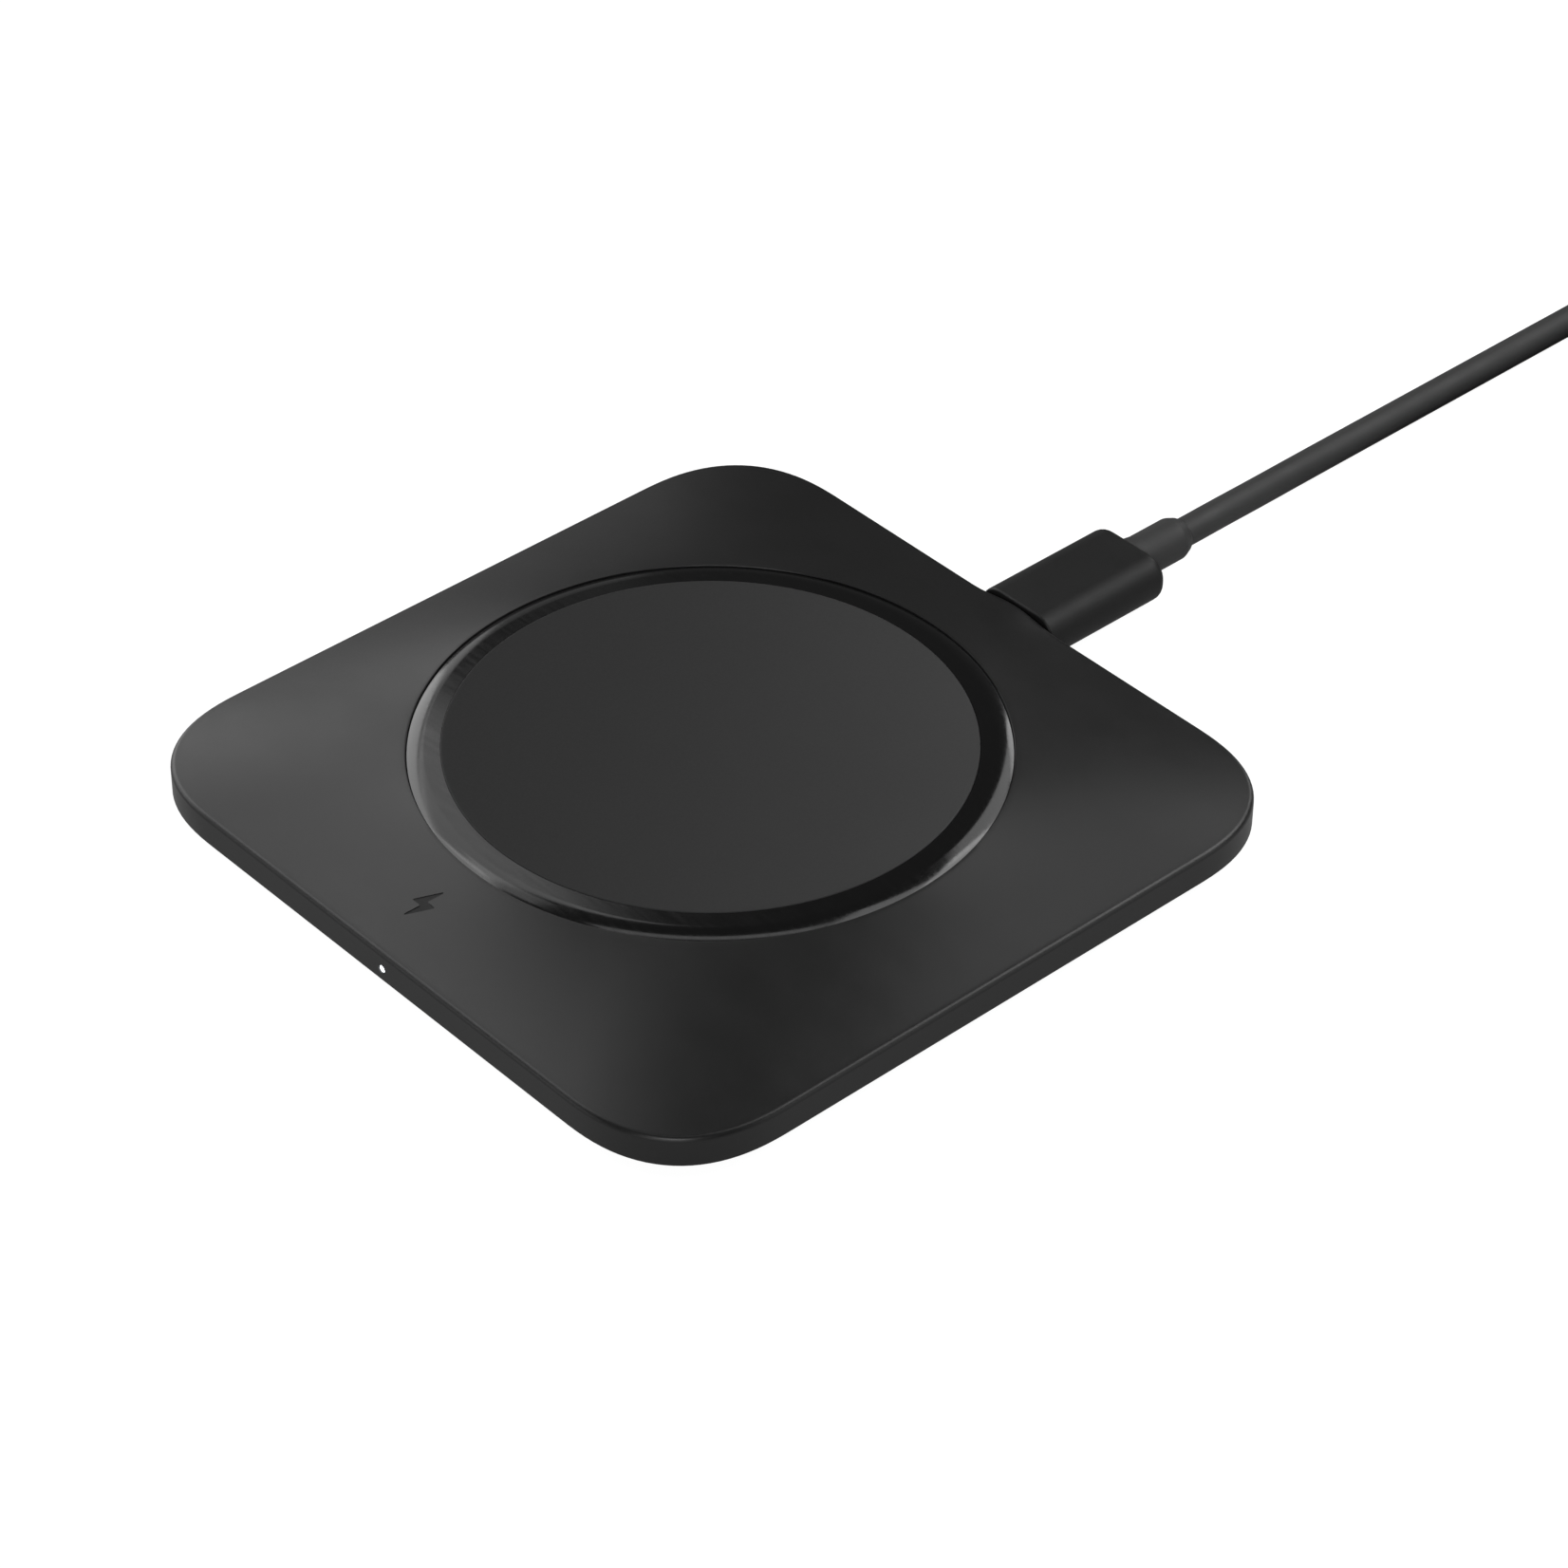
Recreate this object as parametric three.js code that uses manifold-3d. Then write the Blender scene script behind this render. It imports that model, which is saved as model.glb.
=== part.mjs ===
// Wireless charging pad with a detachable USB-C cable, in millimetres.
// The origin is the centre of the pad on the table, +Z is up, the status light faces -Y and the cable
// leaves towards +Y.
import * as THREE from "three";
import { mergeVertices } from "three/addons/utils/BufferGeometryUtils.js";
import Module from "manifold-3d";

// ---- Pad outline: a square whose corners are superellipse arcs ----
const PAD_HALF = 49;
const CORNER_BOX = 17.6;
const CORNER_POWER = 2.5;

// ---- Heights above the table ----
const WALL_BOTTOM = 1.25;
const RIM_TOP = 5.4;
const RING_EDGE_TOP = 9.81;
const DISC_TOP = 10.45;

// ---- Casing ----
const OPENING_RADIUS = 35.35;
const SKIN = 1.3;
const WALL = 1.4;
const RIM_FILLET = 0.7;
const FLARE_END = PAD_HALF - RIM_FILLET;
const BOTTOM_CHAMFER = 0.4;
const COVER_SEGMENTS = 112;
const CORNER_CROWDING = 0.07;
const BASE_INSET = WALL + 0.3;
const BASE_THICKNESS = 1.2;
const BASE_TOP = WALL_BOTTOM + BASE_THICKNESS;

// ---- Charging puck: the flat disc and the ring round it ----
const DISC_RADIUS = 31.3;
const DISC_THICKNESS = 1.1;
const RING_INNER = 31.5;
const RING_LIP = 33.2;
const RING_OUTER = 35.15;
const RING_FLANGE = 36.6;
const RING_LEDGE = 29.6;
const RING_TOP = 10.35;
const RING_LEDGE_TOP = 9.05;
const FLANGE_TOP = 7.6;
const FLANGE_BOTTOM = 7;

// ---- Foot and casing screws ----
const FOOT_RADIUS = 41;
const FOOT_WIDTH = 6;
const GROOVE_DEPTH = 0.5;
const SCREW_OFFSET = FOOT_RADIUS / Math.SQRT2;
const SCREW_HEAD_RADIUS = 1.9;
const SCREW_SHAFT_RADIUS = 1;
const POST_RADIUS = 2.5;
const POST_TOP = 8.2;
const PILOT_RADIUS = 1.25;
const PILOT_TOP = 7.6;

// ---- Coil stack under the disc ----
const STACK_TOP = 9.2;
const STACK_LAYER = 0.9;
const FERRITE_THICKNESS = 0.6;
const STACK_GAP = 0.2;
const FRAME_FLOOR = 6.75;
const FRAME_FLOOR_THICKNESS = 0.55;
const MAGNET_COUNT = 16;
const MAGNET_INNER = 23;
const MAGNET_OUTER = 28;
const COIL_INNER = 10.3;
const COIL_OUTER = 21.3;
const CENTRE_HOLE = 5;

// ---- Circuit board ----
const BOARD_BOTTOM = 2.8;
const BOARD_THICKNESS = 0.8;
const BOARD_TOP = BOARD_BOTTOM + BOARD_THICKNESS;
const BOARD_HALF_WIDTH = 22;
const BOARD_BACK = 41;
const BOARD_FRONT = 2;
const BOARD_ARM_HALF_WIDTH = 3;
const BOARD_ARM_FRONT = -43.5;
const SOLDER_GAP = 0.08;

// ---- Port, in the middle of the back wall, and status light in the front wall ----
const PORT_X = 0.7;
const PORT_Z = 3.35;
const PORT_WIDTH = 8.94;
const PORT_HEIGHT = 3.26;
const PORT_MOUTH = 48.7;
const PORT_BACK = 41.2;
const BROW_RISE = 0.8;
const BROW_HALF_WIDTH = 7.5;
const BROW_DEPTH = 7;
const LIGHT_Z = 3.19;
const LIGHT_RADIUS = 0.45;

// ---- Plug and cable ----
const PLUG_WIDTH = 12.35;
const PLUG_HEIGHT = 6.5;
const PLUG_CORNER = 3;
const PLUG_LENGTH = 20;
const PLUG_EDGE = 0.9;
const PLUG_FACE = 49.1;
const NECK_RADIUS = 2.8;
const NECK_LENGTH = 8.2;
const CABLE_DIAMETER = 3.8;
const FIT_GAP = 0.3;

// ---- Spare cable, wound in a flat coil of two layers beside the end of the run ----
const RUN_X = PORT_X - 1.4;
const SPARE_TURNS_WIDE = 6;
const SPARE_MEAN_RADIUS = 21;
const SPARE_CENTRE_Y = 188;
const TIE_THICKNESS = 0.6;
const TIE_WIDTH = 7;
const TAIL_END_Y = 148;

const wasm = await Module();
wasm.setup();

// ---------------------------------------------------------------- solids and meshes

function toSolid(geometry) {
  const bare = geometry.clone();
  bare.deleteAttribute("normal");
  bare.deleteAttribute("uv");
  const merged = mergeVertices(bare, 1e-4);
  return new wasm.Manifold(
    new wasm.Mesh({
      numProp: 3,
      vertProperties: merged.attributes.position.array,
      triVerts: new Uint32Array(merged.index.array),
    }),
  );
}

function toGeometry(solid) {
  const mesh = solid.getMesh();
  const geometry = new THREE.BufferGeometry();
  geometry.setAttribute("position", new THREE.BufferAttribute(mesh.vertProperties, 3));
  geometry.setIndex(new THREE.BufferAttribute(mesh.triVerts, 1));
  return geometry;
}

function cut(geometry, ...tools) {
  return toGeometry(tools.reduce((solid, tool) => solid.subtract(toSolid(tool)), toSolid(geometry)));
}

function join(geometry, ...others) {
  return toGeometry(others.reduce((solid, other) => solid.add(toSolid(other)), toSolid(geometry)));
}

function piece(name, geometry, material) {
  const mesh = new THREE.Mesh(geometry, material);
  mesh.name = name;
  return mesh;
}

function finish(color, roughness, metalness = 0) {
  return new THREE.MeshStandardMaterial({ color, roughness, metalness });
}

// ---------------------------------------------------------------- basic shapes

// A solid of revolution about Z from (radius, height) pairs that close on themselves or on the axis.
function turned(pairs, segments = 48) {
  const profile = pairs.map(([radius, height]) => new THREE.Vector2(radius, height));
  if (profile[0].x > 0) profile.push(profile[0].clone());
  if (THREE.ShapeUtils.area(profile) < 0) profile.reverse();
  return new THREE.LatheGeometry(profile, segments).rotateX(Math.PI / 2);
}

function disc(radius, bottom, top, segments = 48) {
  return turned([[0, bottom], [radius, bottom], [radius, top], [0, top]], segments);
}

function flatRing(inner, outer, bottom, top, segments = 48) {
  return turned([[inner, bottom], [outer, bottom], [outer, top], [inner, top]], segments);
}

function post(radius, bottom, top, x, y, segments = 16) {
  return disc(radius, bottom, top, segments).translate(x, y, 0);
}

function block(width, depth, bottom, top, x = 0, y = 0) {
  return new THREE.BoxGeometry(width, depth, top - bottom).translate(x, y, (bottom + top) / 2);
}

function roundedRectangle(width, height, radius) {
  const right = width / 2 - radius;
  const upper = height / 2 - radius;
  return new THREE.Shape()
    .absarc(right, upper, radius, 0, Math.PI / 2)
    .absarc(-right, upper, radius, Math.PI / 2, Math.PI)
    .absarc(-right, -upper, radius, Math.PI, 1.5 * Math.PI)
    .absarc(right, -upper, radius, 1.5 * Math.PI, 2 * Math.PI);
}

// A section drawn in X and Z, extruded along +Y from start, with its end edges rounded by edge.
function alongY(section, start, length, edge = 0, curveSegments = 4) {
  const options = { depth: length - 2 * edge, curveSegments, bevelEnabled: edge > 0 };
  Object.assign(options, { bevelSize: edge, bevelOffset: -edge, bevelThickness: edge, bevelSegments: 2 });
  return new THREE.ExtrudeGeometry(section, options).rotateX(-Math.PI / 2).translate(0, start + edge, 0);
}

function tube(points, diameter, sides, steps) {
  const section = new THREE.Shape();
  for (let i = 0; i < sides; i++) {
    const angle = (2 * Math.PI * i) / sides;
    const point = [(diameter / 2) * Math.cos(angle), (diameter / 2) * Math.sin(angle)];
    if (i === 0) section.moveTo(...point);
    else section.lineTo(...point);
  }
  const path = new THREE.CatmullRomCurve3(points.map((point) => new THREE.Vector3(...point)));
  return new THREE.ExtrudeGeometry(section, { steps, extrudePath: path, bevelEnabled: false });
}

// ---------------------------------------------------------------- pad outline

// Distance from the centre to a rounded-square outline, in one direction.
function outlineRadius(angle, half, corner, power) {
  const across = Math.abs(Math.cos(angle));
  const along = Math.abs(Math.sin(angle));
  const flat = half - corner;
  const toSide = half / Math.max(across, along);
  if (toSide * Math.min(across, along) <= flat) return toSide;
  let inside = Math.hypot(flat, flat);
  let outside = toSide;
  for (let i = 0; i < 40; i++) {
    const middle = (inside + outside) / 2;
    const u = Math.max(middle * across - flat, 0) / corner;
    const v = Math.max(middle * along - flat, 0) / corner;
    if (u ** power + v ** power < 1) inside = middle;
    else outside = middle;
  }
  return inside;
}

// The outline at an even distance inwards from the rim.
function insetRadius(angle, inset) {
  return outlineRadius(angle, PAD_HALF - inset, CORNER_BOX - inset, CORNER_POWER);
}

// Lathe directions are spread so that the corners get more of them than the straight sides.
function crowdCorners(angle) {
  return angle + CORNER_CROWDING * Math.sin(4 * angle);
}

// The flare falls evenly from the charging puck's opening to the rim.
function flareHeight(radius) {
  const rise = (PAD_HALF - radius) / (PAD_HALF - OPENING_RADIUS);
  return THREE.MathUtils.lerp(RIM_TOP, RING_EDGE_TOP, rise);
}

// The small rise of the casing over the port.
function browHeight(x, y) {
  const side = Math.abs(x - PORT_X) / BROW_HALF_WIDTH;
  const inward = (PAD_HALF - y) / BROW_DEPTH;
  if (side >= 1 || inward >= 1) return 0;
  return BROW_RISE * Math.cos((side * Math.PI) / 2) ** 2 * Math.cos((Math.max(inward, 0) * Math.PI) / 2) ** 2;
}

// Distance from the centre for a point of the round lathed casing. The rim and wall follow the outline
// evenly; the flare is stretched between the round opening and the rim.
function casingReach(angle, radius, height) {
  if (radius > FLARE_END || height <= RIM_TOP - SKIN) return insetRadius(angle, PAD_HALF - radius);
  const share = (radius - OPENING_RADIUS) / (FLARE_END - OPENING_RADIUS);
  return THREE.MathUtils.lerp(OPENING_RADIUS, insetRadius(angle, RIM_FILLET), share);
}

// Turns a round lathed casing into the rounded square, and lifts it over the port.
function squareOff(geometry) {
  const position = geometry.attributes.position;
  for (let i = 0; i < position.count; i++) {
    const radius = Math.hypot(position.getX(i), position.getY(i));
    const angle = crowdCorners(Math.atan2(position.getY(i), position.getX(i)));
    const reach = casingReach(angle, radius, position.getZ(i));
    const x = reach * Math.cos(angle);
    const y = reach * Math.sin(angle);
    const lift = position.getZ(i) > RIM_TOP - SKIN - 0.5 ? browHeight(x, y) : 0;
    position.setXYZ(i, x, y, position.getZ(i) + lift);
  }
  return geometry;
}

function outlineShape(inset) {
  const points = [];
  for (let i = 0; i < COVER_SEGMENTS; i++) {
    const angle = crowdCorners((2 * Math.PI * i) / COVER_SEGMENTS);
    const reach = insetRadius(angle, inset);
    points.push(new THREE.Vector2(reach * Math.cos(angle), reach * Math.sin(angle)));
  }
  return new THREE.Shape(points);
}

function quarterArc(centreRadius, centreHeight, size, steps) {
  return Array.from({ length: steps + 1 }, (_, i) => {
    const angle = ((Math.PI / 2) * (steps - i)) / steps;
    return [centreRadius + size * Math.cos(angle), centreHeight + size * Math.sin(angle)];
  });
}

const screwPlaces = [[1, 1], [-1, 1], [-1, -1], [1, -1]].map(([x, y]) => [x * SCREW_OFFSET, y * SCREW_OFFSET]);

// ---------------------------------------------------------------- casing

function topCover() {
  const steps = 6;
  const outer = [];
  const inner = [];
  for (let i = 0; i < steps; i++) {
    const radius = THREE.MathUtils.lerp(OPENING_RADIUS, FLARE_END, i / steps);
    outer.push([radius, flareHeight(radius)]);
    if (i % 2 === 0) inner.unshift([radius, flareHeight(radius) - SKIN]);
  }
  const fillet = quarterArc(FLARE_END, flareHeight(FLARE_END) - RIM_FILLET, RIM_FILLET, 3);
  const wall = [
    [PAD_HALF, WALL_BOTTOM + BOTTOM_CHAMFER],
    [PAD_HALF - BOTTOM_CHAMFER, WALL_BOTTOM],
    [PAD_HALF - WALL, WALL_BOTTOM],
    [PAD_HALF - WALL, RIM_TOP - SKIN],
  ];
  const shell = squareOff(turned([...outer, ...fillet, ...wall, ...inner], COVER_SEGMENTS));
  const postBottom = BASE_TOP + 1.2;
  const posts = screwPlaces.map(([x, y]) => post(POST_RADIUS, postBottom, POST_TOP, x, y));
  const pilots = screwPlaces.map(([x, y]) => post(PILOT_RADIUS, postBottom - 1, PILOT_TOP, x, y));
  const portSlot = roundedRectangle(PORT_WIDTH + 0.5, PORT_HEIGHT + 3, 1.6);
  const slot = alongY(portSlot, PORT_BACK - 0.5, 12).translate(PORT_X, 0, PORT_Z - 1.2);
  const lightHole = new THREE.CylinderGeometry(0.6, 0.6, 4, 16).translate(0, -PAD_HALF + 1, LIGHT_Z);
  return cut(join(shell, ...posts), ...pilots, slot, lightHole);
}

function baseCover() {
  const plate = new THREE.ExtrudeGeometry(outlineShape(BASE_INSET), { depth: BASE_THICKNESS, bevelEnabled: false });
  plate.translate(0, 0, WALL_BOTTOM);
  const bosses = screwPlaces.map(([x, y]) => post(3, BASE_TOP - 0.2, BASE_TOP + 0.9, x, y));
  const groove = flatRing(
    FOOT_RADIUS - FOOT_WIDTH / 2 - 0.2,
    FOOT_RADIUS + FOOT_WIDTH / 2 + 0.2,
    WALL_BOTTOM - 1,
    WALL_BOTTOM + GROOVE_DEPTH,
  );
  const headPockets = screwPlaces.map(([x, y]) => post(SCREW_HEAD_RADIUS + 0.2, 1, 2.65, x, y));
  const shaftHoles = screwPlaces.map(([x, y]) => post(SCREW_SHAFT_RADIUS + 0.2, 2, 4, x, y, 16));
  const portPocket = block(PORT_WIDTH + 0.7, 10, WALL_BOTTOM + 0.3, 4, PORT_X, PORT_BACK + 4);
  return cut(join(plate, ...bosses), groove, ...headPockets, ...shaftHoles, portPocket);
}

function footRing() {
  const inner = FOOT_RADIUS - FOOT_WIDTH / 2;
  const outer = FOOT_RADIUS + FOOT_WIDTH / 2;
  const top = WALL_BOTTOM + GROOVE_DEPTH - 0.15;
  return turned([[inner + 0.4, 0], [outer - 0.4, 0], [outer, 0.4], [outer, top], [inner, top], [inner, 0.4]], 48);
}

function casingScrew([x, y]) {
  const profile = [
    [0, 2.1],
    [0.7, 1.8],
    [SCREW_HEAD_RADIUS, 1.85],
    [SCREW_HEAD_RADIUS, 2.5],
    [SCREW_SHAFT_RADIUS, 2.5],
    [SCREW_SHAFT_RADIUS, 6.8],
    [0, 7.3],
  ];
  return turned(profile, 16).translate(x, y, 0);
}

function chargeDisc() {
  const edge = 0.2;
  const bottom = DISC_TOP - DISC_THICKNESS;
  const profile = [[0, bottom], [DISC_RADIUS, bottom], [DISC_RADIUS, DISC_TOP - edge]];
  return turned([...profile, [DISC_RADIUS - edge, DISC_TOP], [0, DISC_TOP]], 72);
}

// The ring's top falls outwards in a gentle curve to a shoulder, then in a steeper chamfer to its edge.
function bezelRing() {
  const crown = [
    [RING_INNER, RING_TOP],
    [RING_LIP, RING_TOP - 0.11],
    [RING_LIP + 0.8, RING_TOP - 0.23],
    [RING_LIP + 1.4, RING_TOP - 0.41],
    [RING_OUTER, RING_TOP - 0.67],
  ];
  const flange = [
    [RING_OUTER, FLANGE_TOP],
    [RING_FLANGE, FLANGE_TOP],
    [RING_FLANGE, FLANGE_BOTTOM],
    [RING_LEDGE, FLANGE_BOTTOM],
    [RING_LEDGE, RING_LEDGE_TOP],
    [RING_INNER, RING_LEDGE_TOP],
  ];
  return turned([...crown, ...flange], 72);
}

// ---------------------------------------------------------------- coil stack

const layerBottom = STACK_TOP - STACK_LAYER;
const ferriteTop = layerBottom - STACK_GAP;
const ferriteBottom = ferriteTop - FERRITE_THICKNESS;

function coilFrame() {
  const floorTop = FRAME_FLOOR + FRAME_FLOOR_THICKNESS;
  return turned([
    [CENTRE_HOLE, FRAME_FLOOR],
    [29.2, FRAME_FLOOR],
    [29.2, STACK_TOP],
    [28.5, STACK_TOP],
    [28.5, floorTop],
    [22.5, floorTop],
    [22.5, STACK_TOP],
    [22, STACK_TOP],
    [22, floorTop],
    [CENTRE_HOLE, floorTop],
  ]);
}

function magnet(index) {
  const pitch = (2 * Math.PI) / MAGNET_COUNT;
  const halfAngle = pitch / 2 - 0.6 / MAGNET_OUTER;
  const shape = new THREE.Shape()
    .absarc(0, 0, MAGNET_OUTER, -halfAngle, halfAngle)
    .absarc(0, 0, MAGNET_INNER, halfAngle, -halfAngle, true);
  const geometry = new THREE.ExtrudeGeometry(shape, { depth: STACK_LAYER, curveSegments: 5, bevelEnabled: false });
  return geometry.rotateZ(index * pitch).translate(0, 0, layerBottom);
}

function coilLead(side) {
  const across = 1.6 * side;
  const points = [[9.9 * side, 0, 8.75], [4.5 * side, 0, 8.5], [across, 0, 7.4], [across, 0, 5.4], [across, 0, 3.75]];
  return tube(points, 0.8, 8, 12);
}

// ---------------------------------------------------------------- board, port and light

function mainBoard() {
  const outline = new THREE.Shape([
    new THREE.Vector2(BOARD_HALF_WIDTH, BOARD_FRONT),
    new THREE.Vector2(BOARD_HALF_WIDTH, BOARD_BACK - 4),
    new THREE.Vector2(BOARD_HALF_WIDTH - 4, BOARD_BACK),
    new THREE.Vector2(-BOARD_HALF_WIDTH + 4, BOARD_BACK),
    new THREE.Vector2(-BOARD_HALF_WIDTH, BOARD_BACK - 4),
    new THREE.Vector2(-BOARD_HALF_WIDTH, BOARD_FRONT),
    new THREE.Vector2(-BOARD_ARM_HALF_WIDTH, BOARD_FRONT),
    new THREE.Vector2(-BOARD_ARM_HALF_WIDTH, BOARD_ARM_FRONT),
    new THREE.Vector2(BOARD_ARM_HALF_WIDTH, BOARD_ARM_FRONT),
    new THREE.Vector2(BOARD_ARM_HALF_WIDTH, BOARD_FRONT),
  ]);
  const board = new THREE.ExtrudeGeometry(outline, { depth: BOARD_THICKNESS, bevelEnabled: false });
  board.translate(0, 0, BOARD_BOTTOM);
  const holes = boardScrewPlaces.map(([x, y]) => post(1.2, BOARD_BOTTOM - 1, BOARD_TOP + 1, x, y, 16));
  return cut(board, ...holes);
}

const boardScrewPlaces = [[-19, 6], [19, 6]];

function boardScrew([x, y]) {
  const headBottom = BOARD_TOP + SOLDER_GAP;
  const profile = [[0, BASE_TOP + 0.1], [0.8, BASE_TOP + 0.1], [0.8, headBottom], [1.7, headBottom]];
  return turned([...profile, [1.5, headBottom + 0.7], [0, headBottom + 0.5]], 16).translate(x, y, 0);
}

function boardComponent(width, depth, height, x, y) {
  const bottom = BOARD_TOP + SOLDER_GAP;
  return block(width, depth, bottom, bottom + height, x, y);
}

function portShell() {
  const section = roundedRectangle(PORT_WIDTH, PORT_HEIGHT, PORT_HEIGHT / 2 - 0.01);
  const hole = roundedRectangle(PORT_WIDTH - 0.5, PORT_HEIGHT - 0.5, PORT_HEIGHT / 2 - 0.26);
  section.holes.push(hole);
  return alongY(section, PORT_BACK, PORT_MOUTH - PORT_BACK).translate(PORT_X, 0, PORT_Z);
}

function portTongue() {
  const back = alongY(roundedRectangle(8.1, 2.4, 1.1), PORT_BACK + 0.1, 0.9);
  const tongue = alongY(roundedRectangle(6.6, 0.7, 0.2), PORT_BACK + 0.5, 5.9, 0, 2);
  return join(back, tongue).translate(PORT_X, 0, PORT_Z);
}

function lightPipe() {
  const rod = new THREE.CylinderGeometry(LIGHT_RADIUS, LIGHT_RADIUS, 3.2, 16);
  rod.translate(0, -PAD_HALF + 1.65, LIGHT_Z);
  const collector = block(3, 1.8, 2.6, 4.4, 0, -45.4);
  return join(rod, collector);
}

// ---------------------------------------------------------------- plug and cable

// A USB-C plug at the origin of its own frame: its moulded body starts at y = 0 and its cable leaves
// along +Y. The metal shell points along -Y.
function plug(prefix) {
  const group = new THREE.Group();
  const shellSection = roundedRectangle(8.25, 2.4, 1.19);
  shellSection.holes.push(roundedRectangle(7.65, 1.8, 0.89));
  const body = alongY(roundedRectangle(PLUG_WIDTH, PLUG_HEIGHT, PLUG_CORNER), 0, PLUG_LENGTH, PLUG_EDGE);
  const neckStart = PLUG_LENGTH + FIT_GAP;
  const neckEnd = neckStart + NECK_LENGTH;
  const neck = turned(
    [
      [0, neckStart],
      [NECK_RADIUS, neckStart],
      [NECK_RADIUS, neckEnd - 1.1],
      [NECK_RADIUS - 0.35, neckEnd - 0.35],
      [CABLE_DIAMETER / 2 + 0.1, neckEnd],
      [0, neckEnd],
    ],
    24,
  ).rotateX(-Math.PI / 2);
  group.add(piece(prefix + "_shell", alongY(shellSection, -6.45, 6.15), plugMetal));
  group.add(piece(prefix + "_body", body, cableRubber));
  group.add(piece(prefix + "_neck", neck, cableRubber));
  return group;
}

const plugEnd = PLUG_LENGTH + FIT_GAP + NECK_LENGTH + FIT_GAP;
const restHeight = CABLE_DIAMETER / 2;

// The run of cable from the plug's neck to the coil: level with the port, then down to the table.
const cableRoute = [
  [PORT_X, PLUG_FACE + plugEnd, PORT_Z],
  [PORT_X - 0.1, 84, PORT_Z - 0.1],
  [PORT_X - 0.6, 92, 2.7],
  [PORT_X - 1.2, 100, 2.1],
  [RUN_X, 108, restHeight],
  [RUN_X, 120, restHeight],
  [RUN_X, 132, restHeight],
  [RUN_X, 144, restHeight],
  [RUN_X, 156, restHeight],
  [RUN_X, 164, restHeight],
  [RUN_X, 170.5, restHeight + 0.4],
];

const spareHalfWidth = (SPARE_TURNS_WIDE * CABLE_DIAMETER) / 2;
const spareBottom = TIE_THICKNESS + FIT_GAP;
const spareTop = spareBottom + 2 * CABLE_DIAMETER;
const spareOuterTurn = SPARE_MEAN_RADIUS + spareHalfWidth - CABLE_DIAMETER / 2;
const spareCentre = [RUN_X + spareOuterTurn, SPARE_CENTRE_Y];

// The last stretch, from the top layer of the coil down to the far plug beside it.
const tailX = spareCentre[0] + spareOuterTurn;
const tailRoute = [
  [tailX + 0.4, 170.5, 5.6],
  [tailX + 0.8, 163, 4.4],
  [tailX + 1, 156, 3.6],
  [tailX + 1, TAIL_END_Y, PORT_Z],
];

function spareCoil() {
  const inner = SPARE_MEAN_RADIUS - spareHalfWidth;
  const outer = SPARE_MEAN_RADIUS + spareHalfWidth;
  const round = CABLE_DIAMETER / 4;
  const profile = [
    [inner + round, spareBottom],
    [outer - round, spareBottom],
    [outer, spareBottom + round],
    [outer, spareTop - round],
    [outer - round, spareTop],
    [inner + round, spareTop],
    [inner, spareTop - round],
    [inner, spareBottom + round],
  ];
  return turned(profile, 40).translate(spareCentre[0], spareCentre[1], 0);
}

// A strap that runs right round the coil's bundle on its far side. The bundle curves inside it, so the
// strap's hole has more room towards the coil's centre.
function cableTie() {
  const curveRoom = 0.8;
  const width = 2 * spareHalfWidth + 2 * FIT_GAP + curveRoom;
  const height = spareTop - spareBottom + 2 * FIT_GAP;
  const section = roundedRectangle(width + 2 * TIE_THICKNESS, height + 2 * TIE_THICKNESS, 2);
  section.holes.push(roundedRectangle(width, height, 2 - TIE_THICKNESS));
  const strap = new THREE.ExtrudeGeometry(section, { depth: TIE_WIDTH, bevelEnabled: false, curveSegments: 4 });
  strap.translate(0, 0, -TIE_WIDTH / 2).rotateX(Math.PI / 2).rotateZ(Math.PI / 2);
  const reach = SPARE_MEAN_RADIUS - curveRoom / 2;
  return strap.translate(spareCentre[0], spareCentre[1] + reach, (spareBottom + spareTop) / 2);
}

// ---------------------------------------------------------------- finishes

const softTouch = finish("#1d1d1e", 0.55);
const darkPlastic = finish("#161617", 0.6);
const discFace = finish("#29292a", 0.65);
const polishedRing = finish("#0e0e0f", 0.25);
const footRubber = finish("#1b1b1b", 0.9);
const steel = finish("#8b8d90", 0.35, 1);
const magnetNickel = finish("#9a9b9d", 0.3, 1);
const copper = finish("#b5672f", 0.35, 1);
const ferrite = finish("#333436", 0.7);
const graphite = finish("#3c3d40", 0.5);
const boardGreen = finish("#1c5a34", 0.45);
const chipBlack = finish("#1a1b1d", 0.5);
const ceramicTan = finish("#a98a60", 0.5);
const clearPlastic = finish("#eef2f5", 0.1);
const thermalGrey = finish("#9fa7b0", 0.8);
const cableRubber = finish("#242425", 0.6);
const plugMetal = finish("#b4b6b9", 0.25, 1);
const tieFabric = finish("#1e1e20", 0.9);

// ---------------------------------------------------------------- assembly

const casing = new THREE.Group();
casing.add(piece("top_cover", topCover(), softTouch));
casing.add(piece("base_cover", baseCover(), darkPlastic));
casing.add(piece("foot_ring", footRing(), footRubber));
screwPlaces.forEach((place, i) => {
  casing.add(piece("casing_screw_" + (i + 1), casingScrew(place), steel));
});

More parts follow.
